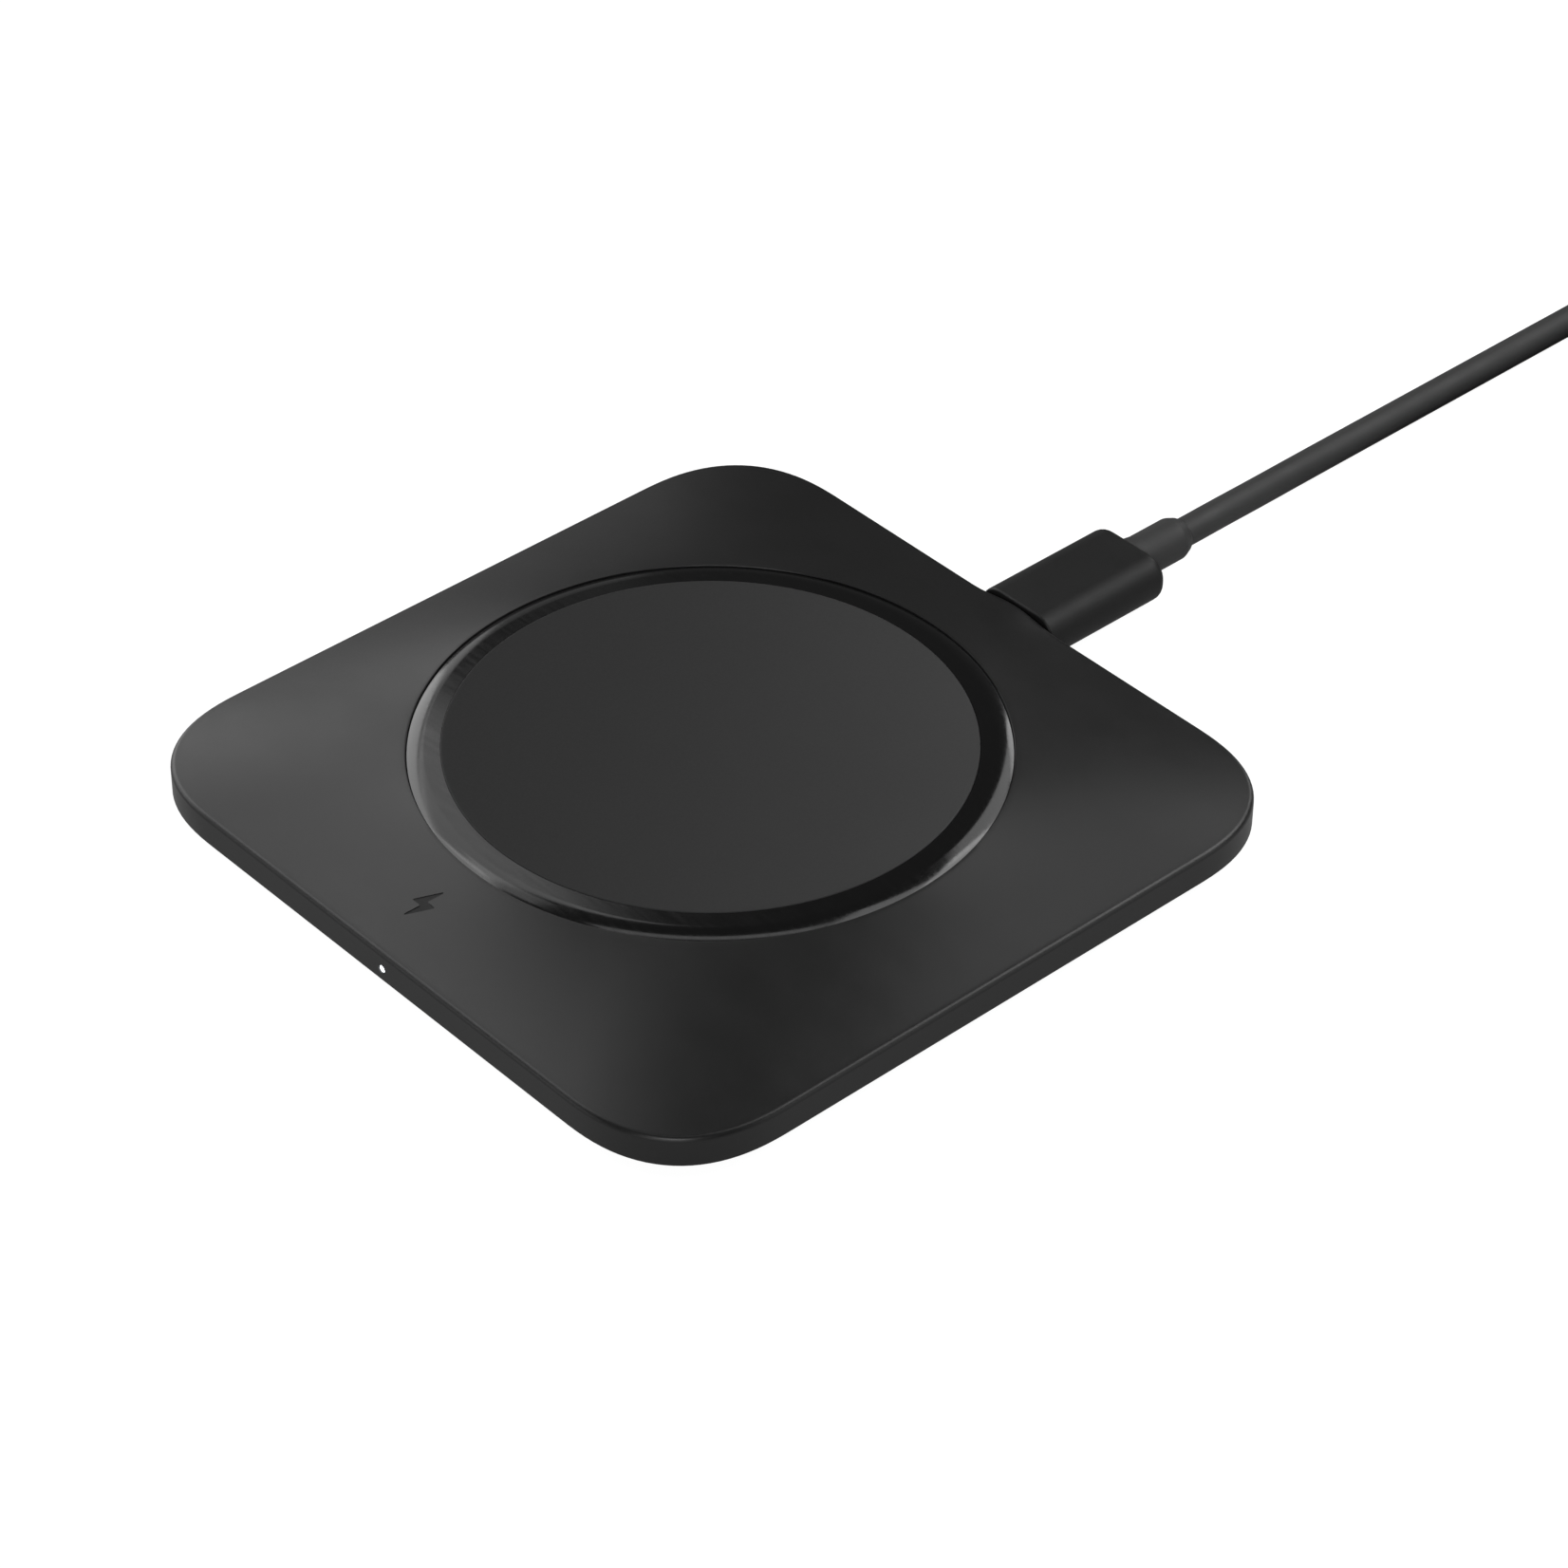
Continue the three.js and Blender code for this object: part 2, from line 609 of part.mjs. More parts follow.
const puck = new THREE.Group();
puck.add(piece("charge_disc", chargeDisc(), discFace));
puck.add(piece("bezel_ring", bezelRing(), polishedRing));
puck.add(piece("coil_frame", coilFrame(), darkPlastic));
puck.add(piece("charging_coil", flatRing(COIL_INNER, COIL_OUTER, layerBottom, STACK_TOP), copper));
puck.add(piece("ferrite_disc", flatRing(CENTRE_HOLE + 1, 21.7, ferriteBottom, ferriteTop), ferrite));
puck.add(piece("magnet_shunt", flatRing(22.7, 28.3, ferriteBottom, ferriteTop), steel));
puck.add(piece("shield_sheet", flatRing(CENTRE_HOLE, 28.8, 6.35, 6.55), graphite));
puck.add(piece("coil_lead_left", coilLead(-1), copper));
puck.add(piece("coil_lead_right", coilLead(1), copper));
puck.add(piece("thermistor", post(1, layerBottom, STACK_TOP - 0.1, 0, 3, 16), chipBlack));
for (let i = 0; i < MAGNET_COUNT; i++) {
  puck.add(piece("magnet_" + (i + 1), magnet(i), magnetNickel));
}

const electronics = new THREE.Group();
electronics.add(piece("main_board", mainBoard(), boardGreen));
boardScrewPlaces.forEach((place, i) => {
  electronics.add(piece("board_screw_" + (i + 1), boardScrew(place), steel));
});
electronics.add(piece("controller_chip", boardComponent(7, 7, 0.9, -9, 15), chipBlack));
electronics.add(piece("power_chip", boardComponent(6, 5, 0.9, 9, 15), chipBlack));
electronics.add(piece("thermal_pad", block(6, 5, 4.8, 6.2, 9, 15), thermalGrey));
electronics.add(piece("power_inductor", boardComponent(6.6, 6.6, 2.4, 13, 27), ferrite));
for (let i = 0; i < 4; i++) {
  const name = "resonant_capacitor_" + (i + 1);
  electronics.add(piece(name, boardComponent(2.5, 3.2, 1.8, -16 + 4 * i, 27), ceramicTan));
}
electronics.add(piece("status_led", boardComponent(1.6, 0.8, 0.6, 0, -42.6), clearPlastic));
electronics.add(piece("light_pipe", lightPipe(), clearPlastic));
electronics.add(piece("port_shell", portShell(), plugMetal));
electronics.add(piece("port_tongue", portTongue(), darkPlastic));

const cable = new THREE.Group();
const padPlug = plug("plug");
padPlug.position.set(PORT_X, PLUG_FACE, PORT_Z);
const farPlug = plug("far_plug");
farPlug.position.set(tailX + 1, TAIL_END_Y - plugEnd, PORT_Z);
cable.add(padPlug, farPlug);
cable.add(piece("cable_run", tube(cableRoute, CABLE_DIAMETER, 8, 14), cableRubber));
cable.add(piece("cable_coil", spareCoil(), cableRubber));
cable.add(piece("cable_tail", tube(tailRoute, CABLE_DIAMETER, 8, 4), cableRubber));
cable.add(piece("cable_tie", cableTie(), tieFabric));

const pad = new THREE.Group();
pad.add(casing, puck, electronics, cable);

export default pad;
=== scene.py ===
"""The looks of a wireless charging pad with its USB-C cable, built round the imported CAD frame."""

import math

import bmesh
import bpy
from mathutils import Matrix, Vector


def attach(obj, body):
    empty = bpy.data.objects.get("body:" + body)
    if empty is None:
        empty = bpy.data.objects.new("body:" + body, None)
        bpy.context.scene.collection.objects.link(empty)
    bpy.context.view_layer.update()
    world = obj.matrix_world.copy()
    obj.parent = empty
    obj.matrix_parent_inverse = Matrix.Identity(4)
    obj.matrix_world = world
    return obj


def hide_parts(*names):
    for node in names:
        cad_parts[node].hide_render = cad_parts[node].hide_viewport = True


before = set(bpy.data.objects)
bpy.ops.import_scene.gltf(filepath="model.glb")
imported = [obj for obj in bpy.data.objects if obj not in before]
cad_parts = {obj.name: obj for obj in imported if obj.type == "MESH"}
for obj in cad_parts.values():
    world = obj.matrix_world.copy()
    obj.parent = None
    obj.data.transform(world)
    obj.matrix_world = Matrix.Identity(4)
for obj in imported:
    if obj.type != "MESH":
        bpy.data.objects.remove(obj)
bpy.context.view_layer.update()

MM = 0.001

# ------------------------------------------------------------------ sizes, in millimetres, as in the CAD
PAD_HALF = 49.0
CORNER_BOX = 17.6
CORNER_POWER = 2.5
CORNER_CROWDING = 0.07
OPENING_RADIUS = 35.35
FLARE_WIDTH = PAD_HALF - OPENING_RADIUS
WALL_BOTTOM = 1.25
RIM_TOP = 5.4
RING_EDGE_TOP = 9.81
SKIN = 1.3
WALL = 1.4
RIM_FILLET = 0.7
FLARE_END = PAD_HALF - RIM_FILLET
BOTTOM_CHAMFER = 0.4
OPENING_EDGE = 0.12
BASE_TOP = 2.45
SCREW_OFFSET = 41 / math.sqrt(2)
SCREW_PLACES = [(x * SCREW_OFFSET, y * SCREW_OFFSET) for x, y in ((1, 1), (-1, 1), (-1, -1), (1, -1))]
POST_RADIUS = 2.5
POST_BOTTOM = BASE_TOP + 1.2
POST_TOP = 8.2
PILOT_RADIUS = 1.25
PILOT_TOP = 7.6
MARK_PLACE = (-1.4, -41.6)
MARK_HALF_HEIGHT = 2.9
MARK_CORNER = 0.12
MARK_RECESS = 0.14
MARK_TOP = -0.07
DISC_TOP = 10.45
DISC_BOTTOM = 9.35
DISC_RADIUS = 31.3
DISC_EDGE = 0.12
RING_INNER = 31.34
RING_LIP = 33.2
RING_OUTER = 35.3
RING_TOP = 10.36
RING_LEDGE = 29.6
RING_LEDGE_TOP = 9.05
RING_FLANGE = 36.6
FLANGE_TOP = 7.6
FLANGE_BOTTOM = 7.0
FOOT_INNER = 38.0
FOOT_OUTER = 44.0
FOOT_TOP = 1.6
PORT_X = 0.7
PORT_Z = 3.35
PORT_WIDTH = 8.94
PORT_HEIGHT = 3.26
PORT_BACK = 41.2
PORT_MOUTH = 48.7
PORT_WALL = 0.25
INSERT_WIDTH = 8.1
INSERT_HEIGHT = 2.4
TONGUE_WIDTH = 6.6
TONGUE_THICKNESS = 0.7
TONGUE_START = PORT_BACK + 0.5
TONGUE_END = PORT_BACK + 6.4
CONTACT_COUNT = 12
CONTACT_PITCH = 0.5
CONTACT_WIDTH = 0.26
CONTACT_PROUD = 0.03
CONTACT_START = PORT_BACK + 1.4
CONTACT_END = PORT_BACK + 5.6
BROW_RISE = 0.8
BROW_HALF_WIDTH = 7.5
BROW_DEPTH = 7.0
LIGHT_Z = 3.19
LIGHT_RADIUS = 0.45
LIGHT_END = -48.95
LIGHT_DOME = 0.12
LIGHT_HOLE = 0.6
LIGHT_START = -45.75
PLUG_FACE = 49.1
PLUG_WIDTH = 12.35
PLUG_HEIGHT = 6.5
PLUG_CORNER = 3.0
PLUG_EDGE = 1.5
PLUG_FACE_EDGE = 0.3
PLUG_LENGTH = 20.0
SHELL_WIDTH = 8.25
SHELL_HEIGHT = 2.4
SHELL_WALL = 0.3
SHELL_REACH = 6.45
NECK_START = 20.3
NECK_LENGTH = 8.2
NECK_RADIUS = 2.8
NECK_BORE_DEPTH = 1.4
PLUG_END = NECK_START + NECK_LENGTH + 0.3
CABLE_DIAMETER = 3.8
CABLE_RADIUS = CABLE_DIAMETER / 2
RUN_X = PORT_X - 1.4
SPARE_TURNS = 5.0
SPARE_MEAN_RADIUS = 21.0
SPARE_CENTRE_Y = 188.0
SPARE_BOTTOM = 0.9
SPARE_TOP = SPARE_BOTTOM + 2 * CABLE_DIAMETER
SPARE_HALF_WIDTH = 6 * CABLE_RADIUS
SPARE_OUTER_TURN = SPARE_MEAN_RADIUS + SPARE_HALF_WIDTH - CABLE_RADIUS
SPARE_CENTRE_X = RUN_X + SPARE_OUTER_TURN
TIE_WIDTH = 7.0
TIE_THICKNESS = 0.6
TIE_ROOM = 0.3
TIE_CURVE_ROOM = 0.8
TIE_TUCK = 0.9
TIE_BEND = 1.7
FLAP_POINTS = 11
FLAP_STEP = 1.2
FAR_PLUG_X = SPARE_CENTRE_X + SPARE_OUTER_TURN + 1
TAIL_END_Y = 148.0
WIRE_DIAMETER = 0.88
WIRE_PITCH = 0.93
WINDING_INNER = 10.3
WINDING_OUTER = 21.3
WINDING_HEIGHT = 8.75

# ------------------------------------------------------------------ studio
CAMERA_AZIMUTH = math.radians(48.77)
CAMERA_ELEVATION = math.radians(38.66)
CAMERA_ROLL = math.radians(0.475)
CAMERA_DISTANCE = 588.84
CAMERA_ORBIT_HEIGHT = 0.45
CAMERA_AIM = (4.42, 7.56, 2.52)
CAMERA_LENS = 115.31
FLOOR_HALF = 6.0
FLOOR_GLOW = 0.95
FLOOR_BOUNCE = 0.26
FLOOR_FADE_START = 0.05
FLOOR_FADE_END = 0.08
WORLD_GLOW = 0.066
# each panel's name, azimuth from +X towards +Y, elevation, distance, width, height (metres), power (watts)
LIGHTS = [
    ("left_low", 190, 18, 1.3, 1.5, 0.85, 6.4),
    ("left_middle", 172, 24, 1.3, 0.9, 0.7, 1.5),
    ("left_high", 171, 47, 1.3, 0.8, 0.5, 1.45),
    ("left_back", 150, 18, 1.3, 0.35, 0.5, 0.1),
    ("left_front", 205, 42, 1.3, 0.45, 0.5, 1.55),
    ("left_front_high", 192, 57, 1.3, 0.45, 0.3, 0.4),
    ("back_low", 102, 18, 1.3, 0.3, 0.35, 0.86),
    ("back_high", 56, 61, 1.3, 0.5, 0.4, 1.05),
    ("right_low", 34, 18, 1.3, 0.8, 0.8, 1.35),
    ("front_low", 305, 10, 1.3, 1.0, 0.35, 1.6),
    ("front_high", 310, 35, 1.3, 0.5, 0.4, 3.4),
    ("front_left_low", 240, 10, 1.3, 0.5, 0.35, 0.75),
    ("overhead", 319, 88, 1.3, 0.9, 0.2, 0.65),
    ("near_right", 60, 40, 0.35, 0.2, 0.15, 0.28),
    ("near_back", 91, 39, 0.35, 0.15, 0.15, 0.1),
]


# ------------------------------------------------------------------ mesh helpers

def mesh_object(name, vertices, faces):
    """A mesh from points in millimetres, with coincident points merged and faces turned outwards."""
    mesh = bpy.data.meshes.new(name)
    mesh.from_pydata([Vector(v) * MM for v in vertices], [], faces)
    tidy_mesh(mesh)
    obj = bpy.data.objects.new(name, mesh)
    bpy.context.scene.collection.objects.link(obj)
    return obj


def tidy_mesh(mesh, flat_angle=None):
    """Merges coincident points and turns faces outwards; flat_angle also joins faces of one plane."""
    bm = bmesh.new()
    bm.from_mesh(mesh)
    bmesh.ops.remove_doubles(bm, verts=bm.verts, dist=1e-6)
    if flat_angle:
        bmesh.ops.dissolve_limit(bm, angle_limit=flat_angle, verts=bm.verts, edges=bm.edges)
    bmesh.ops.recalc_face_normals(bm, faces=bm.faces)
    bm.to_mesh(mesh)
    bm.free()


def strip_faces(rows, columns, looped):
    """Quads between neighbouring rows of points; every row is a closed ring."""
    faces = []
    for r in range(rows if looped else rows - 1):
        here, there = r * columns, (r + 1) % rows * columns
        for c in range(columns):
            d = (c + 1) % columns
            faces.append((here + c, here + d, there + d, there + c))
    return faces


def lofted(name, rings, looped=False):
    """A skin over rings of points; the first and last are closed with a face, or joined to each other."""
    columns = len(rings[0])
    faces = strip_faces(len(rings), columns, looped)
    if not looped:
        faces.append(tuple(range(columns)))
        faces.append(tuple(range((len(rings) - 1) * columns, len(rings) * columns)))
    return mesh_object(name, [point for ring in rings for point in ring], faces)


def polar(radius, height, angle):
    return (radius * math.cos(angle), radius * math.sin(angle), height)


def turned(name, profile, segments=192, place=polar):
    """A closed (radius, height) profile swept round Z, with place giving each point."""
    angles = [2 * math.pi * i / segments for i in range(segments)]
    rings = [[place(radius, height, angle) for angle in angles] for radius, height in profile]
    return lofted(name, rings, looped=True)


def filleted(corners, steps=5):
    """A closed loop of (x, y, radius) corners with each corner rounded to its radius."""
    points = []
    for i, (x, y, radius) in enumerate(corners):
        here = Vector((x, y))
        before = Vector(corners[i - 1][:2]) - here
        after = Vector(corners[(i + 1) % len(corners)][:2]) - here
        if radius == 0:
            points.append((x, y))
            continue
        half_angle = before.angle(after) / 2
        middle = before.normalized() + after.normalized()
        centre = here + middle.normalized() * radius / math.sin(half_angle)
        start = here + before.normalized() * radius / math.tan(half_angle) - centre
        end = here + after.normalized() * radius / math.tan(half_angle) - centre
        first = math.atan2(start.y, start.x)
        sweep = math.remainder(math.atan2(end.y, end.x) - first, 2 * math.pi)
        for k in range(steps + 1):
            angle = first + sweep * k / steps
            points.append((centre.x + radius * math.cos(angle), centre.y + radius * math.sin(angle)))
    return points


def rounded_section(width, height, radius, steps=8):
    x, z = width / 2, height / 2
    return filleted([(x, z, radius), (-x, z, radius), (-x, -z, radius), (x, -z, radius)], steps)


def ring_along_y(section, y, x, z):
    return [(x + u, y, z + v) for u, v in section]


def circle_along_y(radius, y, x, z, segments=40):
    angles = [2 * math.pi * i / segments for i in range(segments)]
    return [(x + radius * math.cos(a), y, z + radius * math.sin(a)) for a in angles]


def bar_along_y(name, width, height, corner, start, end, edge, x, z, steps=8, start_edge=None):
    """A rounded-rectangle bar along Y whose end edges are rounded too."""
    rings = []
    for side, end_y, rounding in ((1, start, start_edge or edge), (-1, end, edge)):
        arc = []
        for k in range(steps + 1):
            angle = math.pi / 2 * k / steps
            inset = rounding * (1 - math.sin(angle))
            section = rounded_section(width - 2 * inset, height - 2 * inset, corner - inset)
            arc.append(ring_along_y(section, end_y + side * rounding * (1 - math.cos(angle)), x, z))
        rings += arc if side == 1 else arc[::-1]
    return lofted(name, rings)


def tube_along_y(name, width, height, corner, wall, start, end, x, z):
    """A hollow rounded-rectangle tube along Y with rounded lips."""
    lip = wall / 2
    rings = []
    for end_y, side in ((start, 1), (end, -1)):
        arc = []
        for k in range(7):
            angle = math.pi * k / 6
            inset = lip * (1 - math.cos(angle))
            section = rounded_section(width - 2 * inset, height - 2 * inset, corner - inset)
            arc.append(ring_along_y(section, end_y + side * lip * (1 - math.sin(angle)), x, z))
        rings += arc[::-1] if side == 1 else arc
    return lofted(name, rings, looped=True)


def apply_modifiers(obj):
    graph = bpy.context.evaluated_depsgraph_get()
    mesh = bpy.data.meshes.new_from_object(obj.evaluated_get(graph))
    obj.modifiers.clear()
    obj.data = mesh


def combine(obj, operation, *tools):
    """Adds tools to obj (UNION) or cuts them from it (DIFFERENCE), and removes them."""
    for tool in tools:
        modifier = obj.modifiers.new("combine", "BOOLEAN")
        modifier.operation = operation
        modifier.solver = "EXACT"
        modifier.object = tool
        bpy.context.view_layer.update()
        apply_modifiers(obj)
        bpy.data.objects.remove(tool)


def smooth(obj, sharp_degrees=35, weighted=True):
    """Smooth shading with sharp edges kept, and large faces weighing most in the normals."""
    obj.data.shade_smooth()
    obj.data.set_sharp_from_angle(angle=math.radians(sharp_degrees))
    if weighted:
        modifier = obj.modifiers.new("normals", "WEIGHTED_NORMAL")
        modifier.keep_sharp = True
    return obj


def install(obj, slot, body, *nodes, look=None):
    """Gives a finished piece its material and its body, and hides the CAD nodes it stands for."""
    obj.data.materials.clear()
    obj.data.materials.append(materials[look or slot])
    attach(obj, body)
    if nodes:
        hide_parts(*nodes)


def post(name, radius, bottom, top, x, y, segments=40):
    angles = [2 * math.pi * i / segments for i in range(segments)]
    circle = [(x + radius * math.cos(a), y + radius * math.sin(a)) for a in angles]
    return lofted(name, [[(u, v, height) for u, v in circle] for height in (bottom, top)])


# ------------------------------------------------------------------ material helpers

def new_material(name):
    material = bpy.data.materials.new(name)
    material.use_nodes = True
    tree = material.node_tree
    return material, tree, tree.nodes["Principled BSDF"]


def add_node(tree, kind, inputs=(), **settings):
    """Adds a node; inputs are values or sockets to link, and settings are the node's own options."""
    node = tree.nodes.new(kind)
    for name, value in settings.items():
        setattr(node, name, value)
    for name, value in dict(inputs).items():
        if isinstance(value, bpy.types.NodeSocket):
            tree.links.new(value, node.inputs[name])
        else:
            node.inputs[name].default_value = value
    return node


def object_point(tree):
    return add_node(tree, "ShaderNodeTexCoord").outputs["Object"]


def stretched_point(tree, scale):
    return add_node(tree, "ShaderNodeMapping", {"Vector": object_point(tree), "Scale": scale}).outputs[0]


def noise(tree, size, detail=3.0, stretch=(1, 1, 1)):
    """Cloudy variation from 0 to 1 whose features are about size millimetres across."""
    inputs = {"Vector": stretched_point(tree, stretch), "Scale": 1 / (size * MM), "Detail": detail}
    return add_node(tree, "ShaderNodeTexNoise", inputs).outputs["Fac"]


def mapped(tree, value, low, high, start=0.3, end=0.7):
    """Runs from low to high as value goes from start to end."""
    inputs = {"Value": value, "From Min": start, "From Max": end, "To Min": low, "To Max": high}
    return add_node(tree, "ShaderNodeMapRange", inputs).outputs[0]


def math_node(tree, operation, first, second=0.0):
    return add_node(tree, "ShaderNodeMath", {0: first, 1: second}, operation=operation).outputs[0]


def two_tones(tree, value, dark, light):
    """A colour between dark and light, as value goes from 0.3 to 0.7."""
    node = add_node(tree, "ShaderNodeValToRGB", {"Fac": value})
    node.color_ramp.elements[0].position = 0.3
    node.color_ramp.elements[0].color = (*dark, 1)
    node.color_ramp.elements[1].position = 0.7
    node.color_ramp.elements[1].color = (*light, 1)
    return node.outputs["Color"]


def relief(tree, shader, height, depth, below=None):
    """Bump of a real depth in millimetres, laid over another bump if there is one."""
    inputs = {"Height": height, "Distance": depth * MM, "Strength": 1.0}
    if below is not None:
        inputs["Normal"] = below
    normal = add_node(tree, "ShaderNodeBump", inputs).outputs[0]
    tree.links.new(normal, shader.inputs["Normal"])
    return normal


def link_color(tree, shader, color):
    tree.links.new(color, shader.inputs["Base Color"])


def link_roughness(tree, shader, value):
    tree.links.new(value, shader.inputs["Roughness"])


def grey(level):
    return (level, level, level)


# ------------------------------------------------------------------ materials

def moulded(name, dark, light, matte, glossy, grain_size, grain_depth, specular=0.5):
    """Moulded plastic or rubber: an even fine grain, and slow changes of tone and gloss."""
    material, tree, shader = new_material(name)
    slow = noise(tree, 18, 4)
    grain = noise(tree, grain_size, 2)
    handled = noise(tree, 7, 5, (1, 1.6, 1))
    link_color(tree, shader, two_tones(tree, slow, dark, light))
    rough = mapped(tree, handled, glossy, matte)
    speckle = mapped(tree, grain, -0.02, 0.02)
    link_roughness(tree, shader, math_node(tree, "ADD", rough, speckle))
    relief(tree, shader, grain, grain_depth)
    shader.inputs["Specular IOR Level"].default_value = specular
    return material


def painted_light_coating(name, middle, ratio, reach):
    """A soft-touch coating with painted light: its tone grows paler across the face towards +X and +Y, by
    ratio over each reach from the centre.
    """
    material, tree, shader = new_material(name)
    across = add_node(
        tree,
        "ShaderNodeVectorMath",
        {0: object_point(tree), 1: (1 / (reach * MM), 1 / (reach * MM), 0)},
        operation="DOT_PRODUCT",
    ).outputs["Value"]
    # painted light: the tone rises by ratio over each reach across the face, standing in for light falling
    # from that side
    painted_light_grade = math_node(tree, "POWER", ratio, across)
    slow = mapped(tree, noise(tree, 16, 4), 0.97, 1.03)
    tone = math_node(tree, "MULTIPLY", math_node(tree, "MULTIPLY", painted_light_grade, slow), middle)
    neutral = add_node(tree, "ShaderNodeCombineColor", {0: tone, 1: tone, 2: tone})
    link_color(tree, shader, neutral.outputs[0])
    grain = noise(tree, 0.22, 2)
    link_roughness(tree, shader, mapped(tree, grain, 0.52, 0.6))
    relief(tree, shader, grain, 0.005)
    shader.inputs["Specular IOR Level"].default_value = 0.25
    return material


def polished_plastic(name):
    """Glossy black plastic with hairline scratches and a trace of dust."""
    material, tree, shader = new_material(name)
    hairlines = noise(tree, 0.5, 4, (0.08, 1.0, 1.0))
    dust = noise(tree, 0.35, 2)
    specks = mapped(tree, dust, 0.0, 1.0, 0.68, 0.74)
    link_color(tree, shader, two_tones(tree, specks, grey(0.0045), grey(0.007)))
    gloss = mapped(tree, hairlines, 0.10, 0.17)
    dulled = math_node(tree, "MULTIPLY", specks, 0.08)
    link_roughness(tree, shader, math_node(tree, "ADD", gloss, dulled))
    relief(tree, shader, hairlines, 0.0006)
    shader.inputs["Specular IOR Level"].default_value = 0.65
    return material


def metal(name, dark, light, matte, glossy, streak=(1, 1, 1), streak_size=0.3, depth=0.002):
    """Plated or rolled metal with fine streaks along the axis that stretch makes long."""
    material, tree, shader = new_material(name)
    tarnish = noise(tree, 4, 4)
    streaks = noise(tree, streak_size, 3, streak)
    link_color(tree, shader, two_tones(tree, tarnish, dark, light))
    link_roughness(tree, shader, mapped(tree, streaks, glossy, matte))
    relief(tree, shader, streaks, depth)
    shader.inputs["Metallic"].default_value = 1.0
    return material


def turned_steel(name):
    """Machine-screw steel with the fine level lines that turning leaves."""
    material, tree, shader = new_material(name)
    wave = noise(tree, 0.4, 3, (1, 1, 12))
    link_color(tree, shader, two_tones(tree, noise(tree, 2, 3), (0.34, 0.34, 0.35), (0.47, 0.47, 0.48)))
    link_roughness(tree, shader, mapped(tree, wave, 0.25, 0.42))
    relief(tree, shader, wave, 0.004)
    shader.inputs["Metallic"].default_value = 1.0
    return material


def enamelled_copper(name):
    """Winding wire: copper under clear enamel, with painted shade: a fine random pattern a little darker,
    standing for shade where strands press together.
    """
    material, tree, shader = new_material(name)
    strands = noise(tree, 0.12, 3)
    # painted shade: the darker tone of the strand pattern stands for shade between pressed strands
    link_color(tree, shader, two_tones(tree, strands, (0.38, 0.12, 0.04), (0.72, 0.27, 0.1)))
    link_roughness(tree, shader, mapped(tree, noise(tree, 1.5, 3), 0.28, 0.42))
    relief(tree, shader, strands, 0.02)
    shader.inputs["Metallic"].default_value = 1.0
    shader.inputs["Coat Weight"].default_value = 0.4
    shader.inputs["Coat Roughness"].default_value = 0.1
    return material


def sintered(name, dark, light, crack_size):
    """Pressed ferrite: granular, with hairline cell edges."""
    material, tree, shader = new_material(name)
    cells = add_node(
        tree,
        "ShaderNodeTexVoronoi",
        {"Vector": object_point(tree), "Scale": 1 / (crack_size * MM)},
        feature="DISTANCE_TO_EDGE",
    ).outputs["Distance"]
    grains = noise(tree, 0.2, 4)
    link_color(tree, shader, two_tones(tree, grains, dark, light))
    link_roughness(tree, shader, mapped(tree, grains, 0.5, 0.78))
    cracked = relief(tree, shader, mapped(tree, cells, 0.0, 1.0, 0.0, 0.04), 0.03)
    relief(tree, shader, grains, 0.01, cracked)
    return material


def solder_mask(name):
    """Green board lacquer over copper tracks, whose edges stand up a little."""
    material, tree, shader = new_material(name)
    tracks = add_node(
        tree,
        "ShaderNodeTexBrick",
        {
            "Vector": object_point(tree),
            "Scale": 1 / (4.2 * MM),
            "Mortar Size": 0.09,
            "Mortar Smooth": 0.1,
            "Brick Width": 0.8,
            "Row Height": 0.3,
        },
        offset=0.37,
    ).outputs["Fac"]
    weave = noise(tree, 0.3, 2)
    link_color(tree, shader, two_tones(tree, tracks, (0.008, 0.07, 0.026), (0.02, 0.14, 0.05)))
    link_roughness(tree, shader, mapped(tree, weave, 0.25, 0.4))
    stepped = relief(tree, shader, tracks, 0.03)
    relief(tree, shader, weave, 0.006, stepped)
    shader.inputs["Coat Weight"].default_value = 0.5
    shader.inputs["Coat Roughness"].default_value = 0.15
    return material


def ceramic_capacitor(name):
    """Tan ceramic with tinned ends, whose line is 1.1 mm from the middle of the row along Y."""
    material, tree, shader = new_material(name)
    y = add_node(tree, "ShaderNodeSeparateXYZ", {0: object_point(tree)}).outputs["Y"]
    off_centre = math_node(tree, "ABSOLUTE", math_node(tree, "SUBTRACT", y, 27 * MM))
    tinned = math_node(tree, "GREATER_THAN", off_centre, 1.1 * MM)
    ceramic = two_tones(tree, noise(tree, 0.5, 3), (0.28, 0.17, 0.07), (0.42, 0.28, 0.14))
    blend = add_node(
        tree,
        "ShaderNodeMixRGB",
        {"Fac": tinned, "Color1": ceramic, "Color2": (0.6, 0.6, 0.62, 1)},
    ).outputs[0]
    link_color(tree, shader, blend)
    tree.links.new(tinned, shader.inputs["Metallic"])
    link_roughness(tree, shader, mapped(tree, noise(tree, 0.3, 3), 0.3, 0.5))
    return material


def glowing_plastic(name):
    """Clear status-light plastic, lit from behind, glowing evenly."""
    material, tree, shader = new_material(name)
    frost = noise(tree, 0.15, 2)
    link_color(tree, shader, two_tones(tree, frost, (0.86, 0.89, 0.92), (0.95, 0.97, 1.0)))
    link_roughness(tree, shader, mapped(tree, frost, 0.2, 0.35))
    relief(tree, shader, frost, 0.002)
    shader.inputs["Emission Color"].default_value = (0.93, 0.97, 1.0, 1)
    shader.inputs["Emission Strength"].default_value = 2.2
    return material


